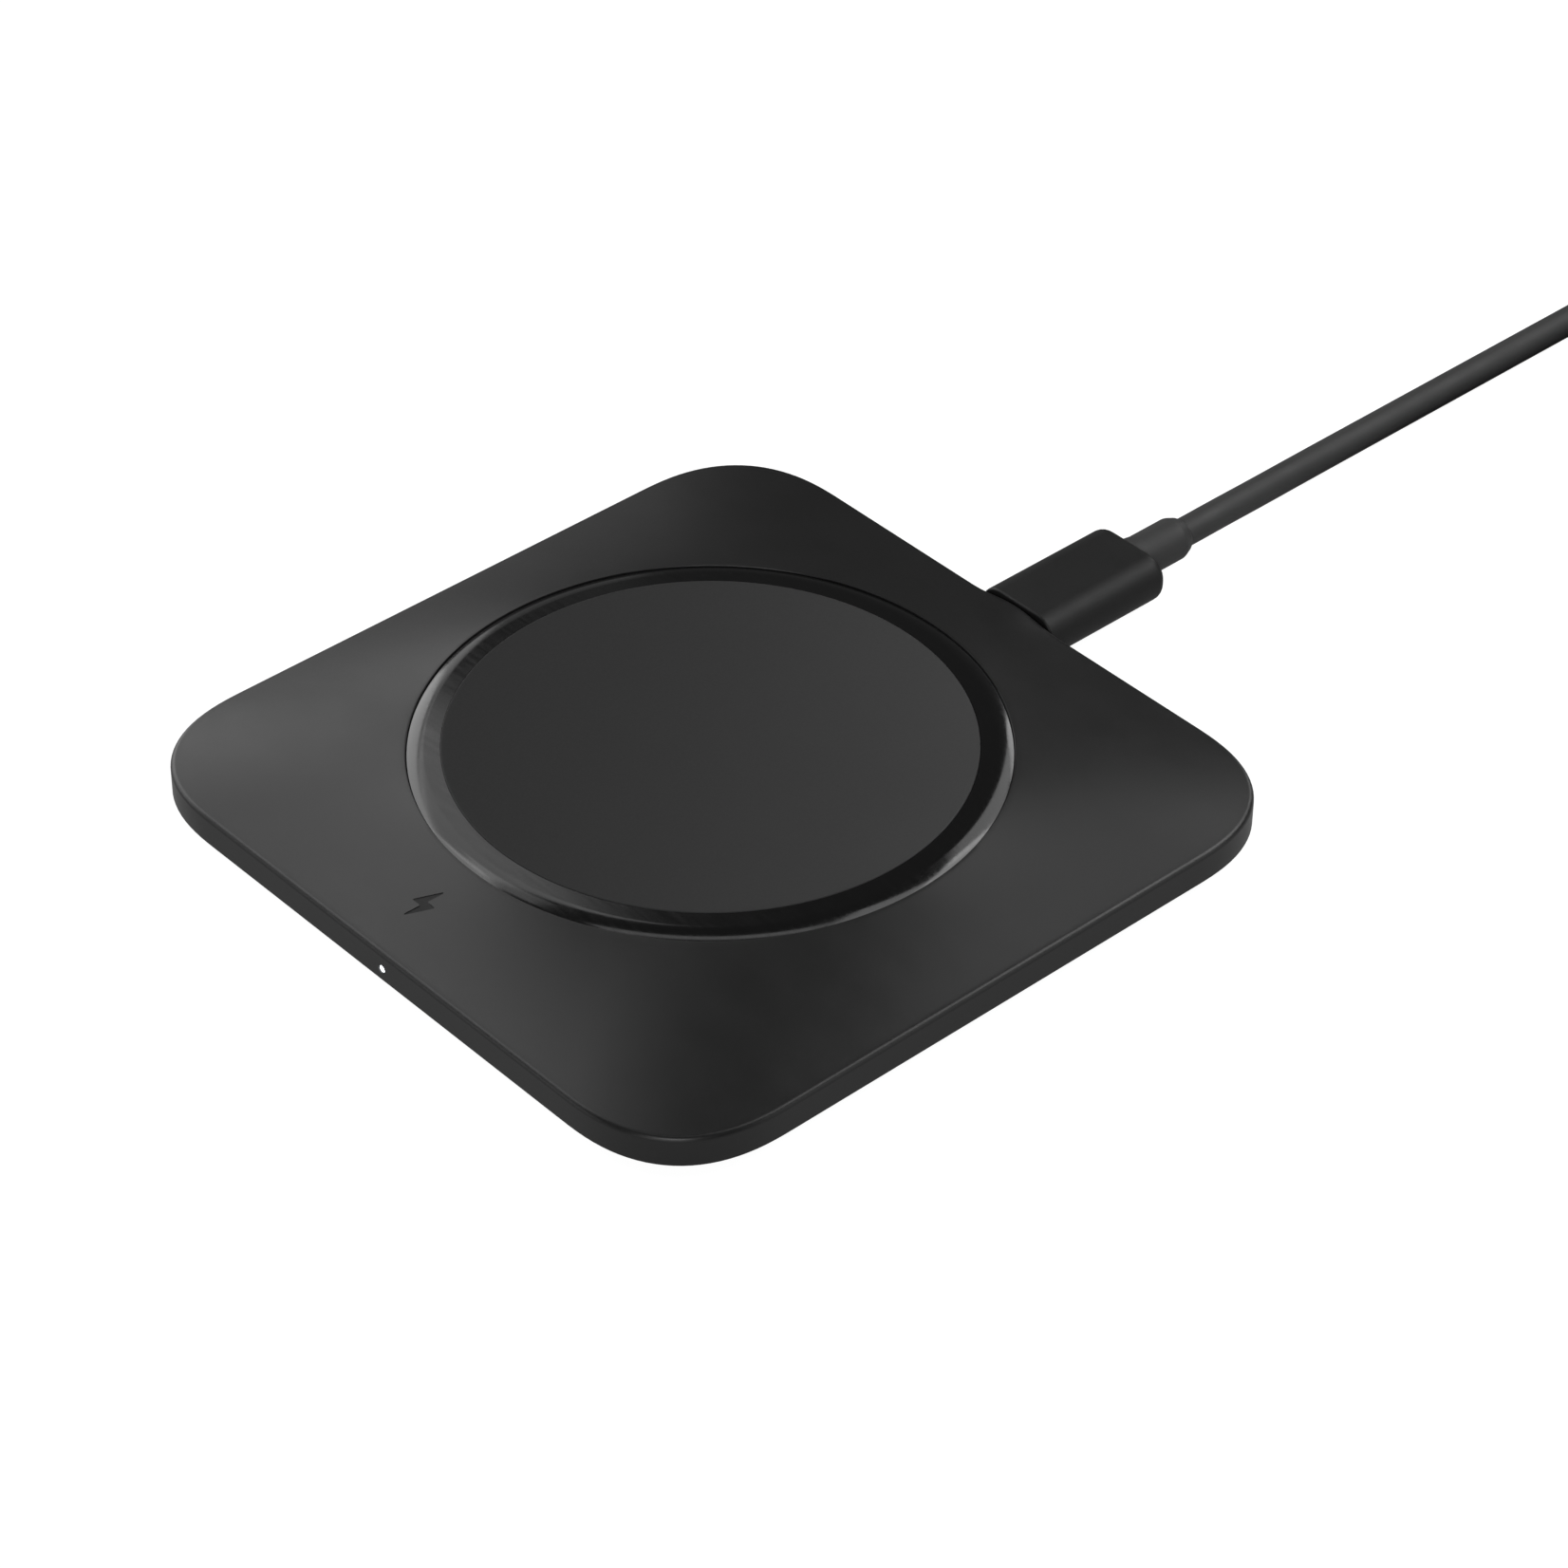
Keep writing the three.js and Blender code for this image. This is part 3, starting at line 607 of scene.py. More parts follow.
def hook_and_loop(name):
    """Strap fabric: a woven ground with short loops standing out of it."""
    material, tree, shader = new_material(name)
    weave = add_node(
        tree,
        "ShaderNodeTexWave",
        {"Vector": object_point(tree), "Scale": 1 / (2.6 * MM), "Distortion": 1.5, "Detail": 2.0},
        bands_direction="X",
    ).outputs["Fac"]
    loops = noise(tree, 0.35, 4)
    both = math_node(tree, "ADD", math_node(tree, "MULTIPLY", weave, 0.5), loops)
    link_color(tree, shader, two_tones(tree, loops, grey(0.006), grey(0.022)))
    link_roughness(tree, shader, mapped(tree, loops, 0.8, 0.98))
    relief(tree, shader, both, 0.12)
    shader.inputs["Sheen Weight"].default_value = 0.25
    shader.inputs["Sheen Roughness"].default_value = 0.4
    return material


# moulded: dark and light tone, matte and glossy roughness, grain size and depth in mm, specular level
materials = {
    "casing": moulded("casing", grey(0.0085), grey(0.0095), 0.37, 0.33, 0.28, 0.004),
    "sunk_mark": moulded("sunk_mark", grey(0.004), grey(0.005), 0.5, 0.42, 0.3, 0.003, 0.28),
    "base_plastic": moulded("base_plastic", grey(0.010), grey(0.014), 0.68, 0.56, 0.45, 0.02),
    # the disc's face has painted light: its tone grows paler towards +X and +Y
    "disc_face": painted_light_coating("disc_face", 0.0275, 1.65, 41),
    "bezel": polished_plastic("bezel"),
    "foot_rubber": moulded("foot_rubber", grey(0.012), grey(0.02), 0.92, 0.8, 0.35, 0.03, 0.3),
    "screw_steel": turned_steel("screw_steel"),
    "magnet_nickel": metal("magnet_nickel", (0.5, 0.49, 0.47), (0.64, 0.63, 0.6), 0.34, 0.2),
    "copper": enamelled_copper("copper"),
    "ferrite": sintered("ferrite", grey(0.018), grey(0.045), 2.6),
    "graphite": metal("graphite", grey(0.05), grey(0.085), 0.6, 0.4, (0.1, 1, 1), 0.4, 0.006),
    "board": solder_mask("board"),
    "chip": moulded("chip", grey(0.009), grey(0.016), 0.6, 0.45, 0.12, 0.006),
    "capacitor": ceramic_capacitor("capacitor"),
    "thermal_pad": moulded("thermal_pad", (0.2, 0.24, 0.27), (0.3, 0.34, 0.37), 0.9, 0.8, 0.5, 0.03, 0.2),
    "status_light": glowing_plastic("status_light"),
    "connector_metal": metal(
        "connector_metal", (0.46, 0.46, 0.47), (0.6, 0.6, 0.61), 0.36, 0.22, (1, 0.1, 1), 0.25, 0.003
    ),
    "cable_jacket": moulded("cable_jacket", grey(0.029), grey(0.033), 0.62, 0.52, 0.3, 0.008),
    "plug_plastic": moulded("plug_plastic", grey(0.005), grey(0.006), 0.55, 0.48, 0.26, 0.005, 0.36),
    "tie_fabric": hook_and_loop("tie_fabric"),
}


# ------------------------------------------------------------------ pad outline and top surface

def outline_radius(angle, half, corner, power):
    """Distance from the centre to a rounded-square outline, in one direction."""
    across, along = abs(math.cos(angle)), abs(math.sin(angle))
    flat = half - corner
    to_side = half / max(across, along)
    if to_side * min(across, along) <= flat:
        return to_side
    inside, outside = math.hypot(flat, flat), to_side
    for _ in range(40):
        middle = (inside + outside) / 2
        u = max(middle * across - flat, 0) / corner
        v = max(middle * along - flat, 0) / corner
        if u**power + v**power < 1:
            inside = middle
        else:
            outside = middle
    return inside


def inset_radius(angle, inset):
    """The outline at an even distance inwards from the rim."""
    return outline_radius(angle, PAD_HALF - inset, CORNER_BOX - inset, CORNER_POWER)


def flare_height(radius):
    rise = (PAD_HALF - radius) / FLARE_WIDTH
    return RIM_TOP + (RING_EDGE_TOP - RIM_TOP) * rise


def brow_height(x, y):
    """The small rise of the casing over the port."""
    side = abs(x - PORT_X) / BROW_HALF_WIDTH
    inward = (PAD_HALF - y) / BROW_DEPTH
    if side >= 1 or inward >= 1:
        return 0
    return BROW_RISE * math.cos(side * math.pi / 2) ** 2 * math.cos(max(inward, 0) * math.pi / 2) ** 2


def square_off(radius, height, angle):
    """Turns a round lathed casing into the rounded square, and lifts it over the port."""
    angle += CORNER_CROWDING * math.sin(4 * angle)
    if radius > FLARE_END or height <= RIM_TOP - SKIN:
        reach = inset_radius(angle, PAD_HALF - radius)
    else:
        share = (radius - OPENING_RADIUS) / (FLARE_END - OPENING_RADIUS)
        reach = OPENING_RADIUS + share * (inset_radius(angle, PAD_HALF - FLARE_END) - OPENING_RADIUS)
    x, y = reach * math.cos(angle), reach * math.sin(angle)
    lift = brow_height(x, y) if height > RIM_TOP - SKIN - 0.5 else 0
    return (x, y, height + lift)


# ------------------------------------------------------------------ casing

def cover_profile():
    """The casing's closed section: flare, rounded rim, wall, bottom chamfer and inner skin."""
    outer_steps, inner_steps, rim_steps = 34, 8, 10
    flare_start = OPENING_RADIUS + OPENING_EDGE
    outer = []
    for i in range(outer_steps):
        radius = flare_start + (FLARE_END - flare_start) * i / outer_steps
        outer.append((radius, flare_height(radius)))
    rim = []
    rim_centre = flare_height(FLARE_END) - RIM_FILLET
    for k in range(rim_steps + 1):
        angle = math.pi / 2 * (1 - k / rim_steps)
        rim.append((FLARE_END + RIM_FILLET * math.cos(angle), rim_centre + RIM_FILLET * math.sin(angle)))
    wall = [
        (PAD_HALF, 3.5),
        (PAD_HALF, WALL_BOTTOM + BOTTOM_CHAMFER + 0.1),
        (PAD_HALF - 0.03, WALL_BOTTOM + BOTTOM_CHAMFER),
        (PAD_HALF - BOTTOM_CHAMFER, WALL_BOTTOM + 0.03),
        (PAD_HALF - BOTTOM_CHAMFER - 0.1, WALL_BOTTOM),
        (PAD_HALF - WALL, WALL_BOTTOM),
        (PAD_HALF - WALL, RIM_TOP - SKIN),
    ]
    inner = []
    for i in range(inner_steps):
        radius = OPENING_RADIUS + (FLARE_END - OPENING_RADIUS) * (1 - (i + 1) / inner_steps)
        inner.append((radius, flare_height(radius) - SKIN))
    edge = [
        (OPENING_RADIUS, RING_EDGE_TOP - OPENING_EDGE),
        (OPENING_RADIUS + 0.3 * OPENING_EDGE, RING_EDGE_TOP - 0.3 * OPENING_EDGE),
    ]
    return outer + rim + wall + inner + edge


def bolt(name, low, high):
    """A small lightning bolt on the front of the flare, from low to high above its surface."""
    x, y = MARK_PLACE
    slope = math.atan((RING_EDGE_TOP - RIM_TOP) / FLARE_WIDTH)
    shape = [(0.34, 1.0), (-0.56, -0.14), (-0.06, -0.14), (-0.34, -1.0), (0.56, 0.14), (0.06, 0.14)]
    outline = filleted([(u * MARK_HALF_HEIGHT, v * MARK_HALF_HEIGHT, MARK_CORNER) for u, v in shape], 3)
    mark = lofted(name, [[(u, v, h) for u, v in outline] for h in (low, high)])
    mark.matrix_world = (
        Matrix.Translation(Vector((x, y, flare_height(-y))) * MM) @ Matrix.Rotation(slope, 4, "X")
    )
    return mark


def build_top_cover():
    """The casing with its screw posts, port slot, light hole and sunk mark."""
    cover = turned("casing_top", cover_profile(), 288, square_off)
    posts = [post("post", POST_RADIUS, POST_BOTTOM, POST_TOP, x, y) for x, y in SCREW_PLACES]
    pilots = [post("pilot", PILOT_RADIUS, BASE_TOP, PILOT_TOP, x, y) for x, y in SCREW_PLACES]
    combine(cover, "UNION", *posts)
    slot = bar_along_y(
        "slot_tool", PORT_WIDTH + 0.5, PORT_HEIGHT + 3, 1.6, PORT_BACK - 0.5, PORT_BACK + 11.5, 0.01,
        PORT_X, PORT_Z - 1.2,
    )
    hole_rings = [circle_along_y(LIGHT_HOLE, y - PAD_HALF, 0, LIGHT_Z, 48) for y in (-1, 3)]
    hole = lofted("hole_tool", hole_rings)
    combine(cover, "DIFFERENCE", *pilots, slot, hole, bolt("bolt_tool", -MARK_RECESS, 1.5))
    smooth(cover, 30)
    install(cover, "casing", "pad", "top_cover")
    install(bolt("front_mark", -MARK_RECESS - 0.06, MARK_TOP), "casing", "pad", look="sunk_mark")


def build_foot_ring():
    """The rubber ring the pad stands on, rounder at its lower edges than at its upper ones."""
    corners = [
        (FOOT_INNER, 0, 0.5),
        (FOOT_OUTER, 0, 0.5),
        (FOOT_OUTER, FOOT_TOP, 0.1),
        (FOOT_INNER, FOOT_TOP, 0.1),
    ]
    foot = smooth(turned("foot_pad", filleted(corners, 6), 224), 30)
    install(foot, "foot_rubber", "pad", "foot_ring")


def build_charge_disc():
    """A flat disc, rounded at its upper edge; one face closes its middle."""
    segments, steps = 224, 8
    profile = [(DISC_RADIUS - 0.2, DISC_BOTTOM), (DISC_RADIUS, DISC_BOTTOM + 0.2)]
    round_centre, round_height = DISC_RADIUS - DISC_EDGE, DISC_TOP - DISC_EDGE
    for k in range(steps + 1):
        angle = math.pi / 2 * k / steps
        profile.append(
            (round_centre + DISC_EDGE * math.cos(angle), round_height + DISC_EDGE * math.sin(angle))
        )
    profile += [(round_centre - 0.3, DISC_TOP), (DISC_RADIUS - 4, DISC_TOP)]
    angles = [2 * math.pi * i / segments for i in range(segments)]
    rings = [[polar(radius, height, angle) for angle in angles] for radius, height in profile]
    disc = smooth(lofted("charge_face", rings), 40)
    install(disc, "disc_face", "pad", "charge_disc")


def bezel_profile():
    """The ring's section: an even slope that rolls over into a lip, and a flange underneath."""
    slope, steepening, bend, steps = 0.065, 0.5, 1.1, 24
    width = RING_OUTER - RING_LIP
    crown = [(RING_INNER, RING_TOP)]
    for k in range(steps + 1):
        t = k / steps
        radius = RING_LIP + width * t
        roll = steepening * width * t ** (bend + 1) / (bend + 1)
        crown.append((radius, RING_TOP - slope * (radius - RING_INNER) - roll))
    flange = [
        (RING_OUTER, FLANGE_TOP),
        (RING_FLANGE, FLANGE_TOP),
        (RING_FLANGE, FLANGE_BOTTOM),
        (RING_LEDGE, FLANGE_BOTTOM),
        (RING_LEDGE, RING_LEDGE_TOP),
        (RING_INNER, RING_LEDGE_TOP),
    ]
    return crown + flange


def build_bezel_ring():
    ring = smooth(turned("bezel_trim", bezel_profile(), 256), 30)
    install(ring, "bezel", "pad", "bezel_ring")


# ------------------------------------------------------------------ port and status light

def build_port():
    """The port's metal shell, and the insert that closes its back and carries the tongue."""
    shell = tube_along_y(
        "port_can", PORT_WIDTH, PORT_HEIGHT, PORT_HEIGHT / 2 - 0.01, PORT_WALL,
        PORT_BACK, PORT_MOUTH, PORT_X, PORT_Z,
    )
    install(smooth(shell, 40), "connector_metal", "pad", "port_shell")
    back = bar_along_y(
        "port_insert", INSERT_WIDTH, INSERT_HEIGHT, 1.1, PORT_BACK + 0.1, PORT_BACK + 1, 0.1, PORT_X, PORT_Z
    )
    tongue = bar_along_y(
        "tongue", TONGUE_WIDTH, TONGUE_THICKNESS, 0.2, TONGUE_START, TONGUE_END, 0.15, PORT_X, PORT_Z,
        steps=4,
    )
    combine(back, "UNION", tongue)
    install(smooth(back, 40), "base_plastic", "pad", "port_tongue")
    build_contacts()


def build_contacts():
    """The metal strips on both faces of the port's tongue."""
    vertices, faces = [], []
    for side in (1, -1):
        for i in range(CONTACT_COUNT):
            x = PORT_X + (i - (CONTACT_COUNT - 1) / 2) * CONTACT_PITCH
            first = len(vertices)
            vertices += contact_points(x, side)
            quads = [(0, 1, 2, 3), (8, 9, 10, 11)] + strip_faces(3, 4, False)
            faces += [tuple(first + corner for corner in quad) for quad in quads]
    contacts = mesh_object("port_contacts", vertices, faces)
    install(smooth(contacts, 30, False), "connector_metal", "pad")


def contact_points(x, side):
    """Three rectangles, from just inside the tongue's face to the strip's bevelled top."""
    points = []
    for inset, proud in ((0, -0.02), (0, CONTACT_PROUD * 0.6), (0.04, CONTACT_PROUD)):
        u = CONTACT_WIDTH / 2 - inset
        height = PORT_Z + side * (TONGUE_THICKNESS / 2 + proud)
        start, end = CONTACT_START + inset, CONTACT_END - inset
        points += [(x - u, start, height), (x + u, start, height)]
        points += [(x + u, end, height), (x - u, end, height)]
    return points


def build_light_pipe():
    """A rod with a domed end just inside the wall, and the block that gathers the light."""
    rings, steps = [], 8
    for k in range(1, steps + 1):
        angle = math.pi / 2 * k / steps
        end = LIGHT_END + LIGHT_DOME * (1 - math.cos(angle))
        rings.append(circle_along_y(LIGHT_RADIUS * math.sin(angle), end, 0, LIGHT_Z))
    rings.append(circle_along_y(LIGHT_RADIUS, LIGHT_START, 0, LIGHT_Z))
    rod = lofted("light_guide", rings)
    collector = softened_block("collector", 3, 1.8, 2.6, 4.4, 0, -45.4, 0.15)
    combine(rod, "UNION", collector)
    install(smooth(rod, 35), "status_light", "pad", "light_pipe")


def softened_block(name, width, depth, bottom, top, x, y, edge):
    """A block whose upright and level edges are all rounded."""
    rings = []
    steps = 4
    for side, height in ((1, bottom), (-1, top)):
        arc = []
        for k in range(steps + 1):
            angle = math.pi / 2 * k / steps
            inset = edge * (1 - math.sin(angle))
            corner = max(edge * 1.01 - inset, 0.01)
            section = rounded_section(width - 2 * inset, depth - 2 * inset, corner, 4)
            level = height + side * edge * (1 - math.cos(angle))
            arc.append([(x + u, y + v, level) for u, v in section])
        rings += arc if side == 1 else arc[::-1]
    return lofted(name, rings)


# ------------------------------------------------------------------ plugs

def build_plug(prefix, x, y, z):
    """A USB-C plug whose moulded body starts at y; its cable leaves along +Y and its shell points to -Y."""
    shell = tube_along_y(
        prefix + "_can", SHELL_WIDTH, SHELL_HEIGHT, SHELL_HEIGHT / 2 - 0.01, SHELL_WALL,
        y - SHELL_REACH, y - 0.3, x, z,
    )
    install(smooth(shell, 40), "connector_metal", "cable", prefix + "_shell")
    body = bar_along_y(
        prefix + "_grip", PLUG_WIDTH, PLUG_HEIGHT, PLUG_CORNER, y, y + PLUG_LENGTH, PLUG_EDGE, x, z,
        steps=12, start_edge=PLUG_FACE_EDGE,
    )
    install(smooth(body, 40), "cable_jacket", "cable", prefix + "_body", look="plug_plastic")
    build_neck(prefix, x, y, z)


def build_neck(prefix, x, y, z):
    """The strain relief: a sleeve with a rounded end, bored where the cable goes in."""
    start, end, bore = NECK_START, NECK_START + NECK_LENGTH, CABLE_RADIUS + 0.02
    corners = [
        (0, start - 1.6, 0),
        (NECK_RADIUS + 0.25, start - 1.6, 0),
        (NECK_RADIUS + 0.2, start - 0.5, 1.0),
        (NECK_RADIUS, start + 0.9, 1.5),
        (NECK_RADIUS, end - 1.5, 1.5),
        (NECK_RADIUS - 0.45, end - 0.35, 0.5),
        (NECK_RADIUS - 0.75, end, 0.1),
        (bore, end, 0.08),
        (bore, end - NECK_BORE_DEPTH, 0),
        (0, end - NECK_BORE_DEPTH, 0),
    ]
    profile = filleted(corners, 5)
    rings = [circle_along_y(max(radius, 0.001), y + along, x, z, 64) for radius, along in profile]
    neck = lofted(prefix + "_relief", rings)
    install(smooth(neck, 40), "cable_jacket", "cable", prefix + "_neck")


# ------------------------------------------------------------------ cable

# from the plug's neck down to the table and along it, then from the coil back to the far plug
cable_route = [
    (PORT_X, PLUG_FACE + PLUG_END - 1.2, PORT_Z),
    (PORT_X, PLUG_FACE + PLUG_END + 0.6, PORT_Z - 0.02),
    (PORT_X - 0.1, 84, PORT_Z - 0.1),
    (PORT_X - 0.6, 92, 2.7),
    (PORT_X - 1.2, 100, 2.1),
    (RUN_X, 108, CABLE_RADIUS),
    (RUN_X, 120, CABLE_RADIUS),
    (RUN_X, 132, CABLE_RADIUS),
    (RUN_X, 144, CABLE_RADIUS),
    (RUN_X, 156, CABLE_RADIUS),
    (RUN_X, 168, CABLE_RADIUS),
    (RUN_X, 178, CABLE_RADIUS),
]
tail_route = [
    (FAR_PLUG_X - 0.7, 176, 5.4),
    (FAR_PLUG_X - 0.4, 168, 4.8),
    (FAR_PLUG_X - 0.1, 160, 4.0),
    (FAR_PLUG_X, 153, 3.5),
    (FAR_PLUG_X, TAIL_END_Y + 1.2, PORT_Z),
    (FAR_PLUG_X, TAIL_END_Y - 1.0, PORT_Z),
]


def strap_lift(angle):
    """How far the bundle is raised at an angle: it lies on the strap behind, on the table in front."""
    from_strap = abs(math.remainder(angle - math.pi / 2, 2 * math.pi))
    fall = min(max((from_strap - 0.2) / 1.1, 0), 1)
    return SPARE_BOTTOM * (1 - fall * fall * (3 - 2 * fall))


def coil_route():
    """Five turns in on the table, half a turn up at the inside, and five turns out on top."""
    points = []
    turns = 2 * SPARE_TURNS + 0.5
    knots_per_turn = 24
    steps = round(turns * knots_per_turn)
    for i in range(steps + 1):
        turn = turns * i / steps
        inward = max(min(turn, SPARE_TURNS, turns - turn), 0)
        climb = min(max((turn - SPARE_TURNS) / 0.5, 0), 1)
        radius = SPARE_OUTER_TURN - CABLE_DIAMETER * inward
        angle = math.pi - 2 * math.pi * turn
        height = CABLE_RADIUS + strap_lift(angle) + CABLE_DIAMETER * climb * climb * (3 - 2 * climb)
        x, y = SPARE_CENTRE_X + radius * math.cos(angle), SPARE_CENTRE_Y + radius * math.sin(angle)
        points.append((x, y, height))
    return points


def build_cable():
    points = cable_route + coil_route() + tail_route
    curve = bpy.data.curves.new("usb_cable", "CURVE")
    curve.dimensions = "3D"
    curve.bevel_depth = CABLE_RADIUS * MM
    curve.bevel_resolution = 7
    curve.resolution_u = 6
    curve.use_fill_caps = True
    spline = curve.splines.new("BEZIER")
    spline.bezier_points.add(len(points) - 1)
    for knot, point in zip(spline.bezier_points, points):
        knot.co = Vector(point) * MM
        knot.handle_left_type = "AUTO"
        knot.handle_right_type = "AUTO"
    cable = bpy.data.objects.new("usb_cable", curve)
    bpy.context.scene.collection.objects.link(cable)
    install(cable, "cable_jacket", "cable", "cable_run", "cable_coil", "cable_tail")
    return cable


def build_cable_tie():
    """A strap once round the bundle where its turns lie closest in, its end over its start on top."""
    width = 2 * SPARE_HALF_WIDTH + 2 * TIE_ROOM + TIE_CURVE_ROOM + TIE_THICKNESS - TIE_TUCK
    height = SPARE_TOP - SPARE_BOTTOM + 2 * TIE_ROOM + TIE_THICKNESS
    middle = (SPARE_BOTTOM + SPARE_TOP) / 2
    centre_y = SPARE_CENTRE_Y + SPARE_MEAN_RADIUS - (TIE_CURVE_ROOM + TIE_TUCK) / 2
    centre_line = rounded_section(width, height, TIE_BEND)
    strap = strap_along("bundle_strap", centre_line, centre_y, middle, True)
    flap_height = height / 2 + TIE_THICKNESS * 0.95
    flap_line = [(width / 2 - 3 - FLAP_STEP * i, flap_height) for i in range(FLAP_POINTS)]
    flap = strap_along("flap", flap_line, centre_y, middle, False)
    combine(strap, "UNION", flap)
    install(smooth(strap, 50), "tie_fabric", "cable", "cable_tie")


def strap_along(name, centre_line, y, z, looped):
    """A flat strap with rounded edges, TIE_WIDTH across X, following a line in Y and Z."""
    section = rounded_section(TIE_WIDTH, TIE_THICKNESS, TIE_THICKNESS / 2 - 0.02, 4)
    count = len(centre_line)
    rings = []
    for i, (u, v) in enumerate(centre_line):
        before = centre_line[i - 1] if looped or i else centre_line[0]
        after = centre_line[(i + 1) % count] if looped or i < count - 1 else centre_line[-1]
        along = Vector((after[0] - before[0], after[1] - before[1])).normalized()
        tip = 1.0
        if not looped:
            from_end = min(i, count - 1 - i)
            tip = min(1.0, 0.72 + 0.14 * from_end)
        rings.append(
            [
                (SPARE_CENTRE_X + a * tip, y + u - along.y * b, z + v + along.x * b)
                for a, b in section
            ]
        )
    return lofted(name, rings, looped)


# ------------------------------------------------------------------ parts under the casing

def refined(node, slot, edge=0.12):
    """A copy of a simple CAD node with its faces merged and its sharp edges rounded."""
    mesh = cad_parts[node].data.copy()
    tidy_mesh(mesh, math.radians(1))
    obj = bpy.data.objects.new(node + "_fine", mesh)
    bpy.context.scene.collection.objects.link(obj)
    bevel = obj.modifiers.new("edges", "BEVEL")
    bevel.width = edge * MM
    bevel.segments = 3
    bevel.limit_method = "ANGLE"
    bevel.angle_limit = math.radians(40)
    bpy.context.view_layer.update()
    apply_modifiers(obj)
    smooth(obj, 50)
    install(obj, slot, "pad", node)


def build_winding():
    """The charging coil: one flat spiral of litz wire."""
    inner, outer = WINDING_INNER + WIRE_DIAMETER / 2, WINDING_OUTER - WIRE_DIAMETER / 2
    turns = (outer - inner) / WIRE_PITCH
    curve = bpy.data.curves.new("winding", "CURVE")
    curve.dimensions = "3D"
    curve.bevel_depth = WIRE_DIAMETER / 2 * MM
    curve.bevel_resolution = 3
    curve.use_fill_caps = True
    steps = round(turns * 60)
    spline = curve.splines.new("POLY")
    spline.points.add(steps)
    for i in range(steps + 1):
        angle = 2 * math.pi * turns * i / steps
        radius = inner + WIRE_PITCH * turns * i / steps
        spline.points[i].co = (*(Vector(polar(radius, WINDING_HEIGHT, angle)) * MM), 1)
    wound = bpy.data.objects.new("winding", curve)
    bpy.context.scene.collection.objects.link(wound)
    mesh = bpy.data.meshes.new_from_object(wound)
    bpy.data.objects.remove(wound)
    coil = bpy.data.objects.new("charging_winding", mesh)
    bpy.context.scene.collection.objects.link(coil)
    install(smooth(coil, 60, False), "copper", "pad", "charging_coil")


def build_hidden_parts():
    build_winding()
    for i in range(1, 17):
        refined(f"magnet_{i}", "magnet_nickel", 0.1)
    for i in range(1, 5):
        refined(f"casing_screw_{i}", "screw_steel", 0.08)
        refined(f"resonant_capacitor_{i}", "capacitor", 0.15)
    for i in (1, 2):
        refined(f"board_screw_{i}", "screw_steel", 0.08)
    for node, slot, edge in (
        ("base_cover", "base_plastic", 0.12),
        ("coil_frame", "base_plastic", 0.1),
        ("ferrite_disc", "ferrite", 0.08),
        ("magnet_shunt", "screw_steel", 0.08),
        ("shield_sheet", "graphite", 0.04),
        ("coil_lead_left", "copper", 0.03),
        ("coil_lead_right", "copper", 0.03),
        ("thermistor", "chip", 0.15),
        ("main_board", "board", 0.06),
        ("controller_chip", "chip", 0.08),
        ("power_chip", "chip", 0.08),
        ("thermal_pad", "thermal_pad", 0.2),
        ("power_inductor", "ferrite", 0.5),
        ("status_led", "status_light", 0.1),
    ):
        refined(node, slot, edge)


# ------------------------------------------------------------------ camera, floor and lights

def add_camera():
    """Looks at the pad from its front right: azimuth from -Y towards +X, elevation, a small roll."""
    aim = Vector(CAMERA_AIM) * MM
    back = Vector(
        (
            math.sin(CAMERA_AZIMUTH) * math.cos(CAMERA_ELEVATION),
            -math.cos(CAMERA_AZIMUTH) * math.cos(CAMERA_ELEVATION),
            math.sin(CAMERA_ELEVATION),
        )
    )
    camera = bpy.data.objects.new("camera", bpy.data.cameras.new("camera"))
    bpy.context.scene.collection.objects.link(camera)
    place = back * (CAMERA_DISTANCE * MM) + Vector((0, 0, CAMERA_ORBIT_HEIGHT * MM))
    turn = (aim - place).to_track_quat("-Z", "Y").to_matrix().to_4x4()
    camera.matrix_world = Matrix.Translation(place) @ turn @ Matrix.Rotation(CAMERA_ROLL, 4, "Z")
    camera.data.lens = CAMERA_LENS
    camera.data.sensor_width = 36.0
    camera.data.clip_start = 0.01
    bpy.context.scene.camera = camera


def distance_behind_pad(tree):
    """How far a floor point lies beyond the pad's centre, towards its back left corner, in metres."""
    apart = add_node(tree, "ShaderNodeSeparateXYZ", {"Vector": object_point(tree)})
    x = math_node(tree, "MULTIPLY", apart.outputs["X"], -math.sin(CAMERA_AZIMUTH))
    y = math_node(tree, "MULTIPLY", apart.outputs["Y"], math.cos(CAMERA_AZIMUTH))
    return math_node(tree, "ADD", x, y)


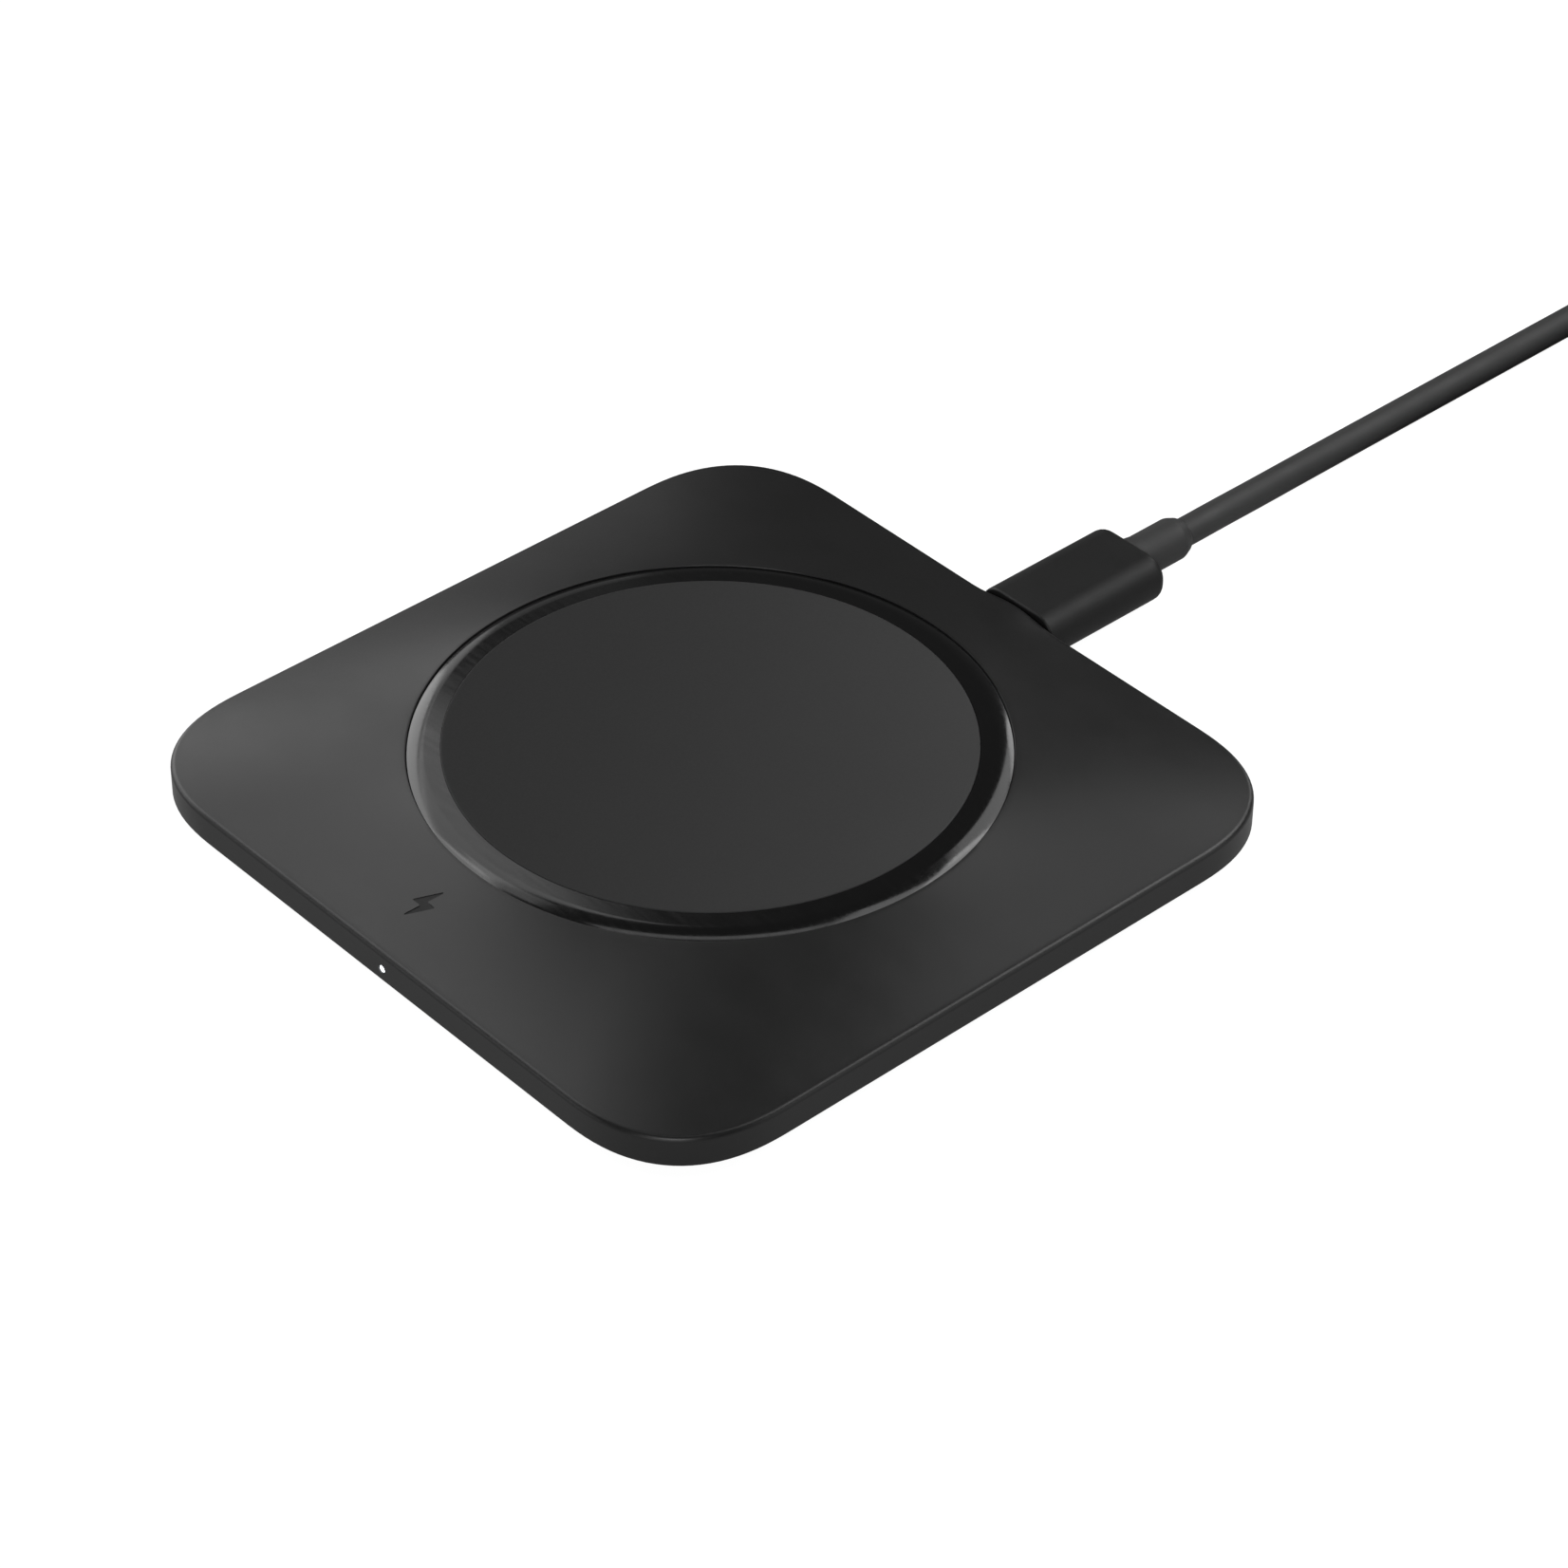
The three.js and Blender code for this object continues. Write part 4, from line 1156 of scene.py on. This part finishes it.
def add_floor():
    """A pale table top, nearly even white, that throws little light back from behind the pad."""
    mesh = bpy.data.meshes.new("floor")
    corners = [(x * FLOOR_HALF, y * FLOOR_HALF, 0) for x, y in ((-1, -1), (1, -1), (1, 1), (-1, 1))]
    mesh.from_pydata(corners, [], [(0, 1, 2, 3)])
    floor = bpy.data.objects.new("floor", mesh)
    bpy.context.scene.collection.objects.link(floor)
    material, tree, shader = new_material("floor")
    shader.inputs["Roughness"].default_value = 0.9
    shader.inputs["Specular IOR Level"].default_value = 0.0
    shader.inputs["Emission Color"].default_value = (1, 1, 1, 1)
    seen = add_node(tree, "ShaderNodeLightPath").outputs["Is Camera Ray"]
    far = mapped(tree, distance_behind_pad(tree), 1, 0, FLOOR_FADE_START, FLOOR_FADE_END)
    bounce = math_node(tree, "MULTIPLY", far, FLOOR_BOUNCE)
    glow = math_node(tree, "MAXIMUM", bounce, mapped(tree, seen, 0, FLOOR_GLOW, 0, 1))
    tree.links.new(glow, shader.inputs["Emission Strength"])
    reach = math_node(tree, "MAXIMUM", far, seen)
    link_color(tree, shader, two_tones(tree, reach, grey(0.02), grey(0.2)))
    floor.data.materials.append(material)


def add_light(name, azimuth, elevation, distance, width, height, power):
    """A soft panel facing the pad; azimuth is measured from +X towards +Y."""
    a, e = math.radians(azimuth), math.radians(elevation)
    panel = bpy.data.lights.new(name, "AREA")
    panel.shape = "RECTANGLE"
    panel.size, panel.size_y = width, height
    panel.energy = power
    light = bpy.data.objects.new(name, panel)
    light.visible_camera = False
    bpy.context.scene.collection.objects.link(light)
    place = Vector((math.cos(a) * math.cos(e), math.sin(a) * math.cos(e), math.sin(e))) * distance
    light.matrix_world = (
        Matrix.Translation(place) @ (-place).to_track_quat("-Z", "Y").to_matrix().to_4x4()
    )


def add_studio():
    add_floor()
    for light in LIGHTS:
        add_light(*light)
    world = bpy.data.worlds.new("studio")
    world.use_nodes = True
    background = world.node_tree.nodes["Background"]
    background.inputs["Color"].default_value = (1, 1, 1, 1)
    seen = add_node(world.node_tree, "ShaderNodeLightPath").outputs["Is Camera Ray"]
    glow = mapped(world.node_tree, seen, WORLD_GLOW, FLOOR_GLOW, 0, 1)
    world.node_tree.links.new(glow, background.inputs["Strength"])
    bpy.context.scene.world = world
    bpy.context.scene.view_settings.view_transform = "Standard"


add_camera()
build_top_cover()
build_foot_ring()
build_charge_disc()
build_bezel_ring()
build_port()
build_light_pipe()
build_plug("plug", PORT_X, PLUG_FACE, PORT_Z)
build_plug("far_plug", FAR_PLUG_X, TAIL_END_Y - PLUG_END, PORT_Z)
cable = build_cable()
build_cable_tie()
build_hidden_parts()
add_studio()
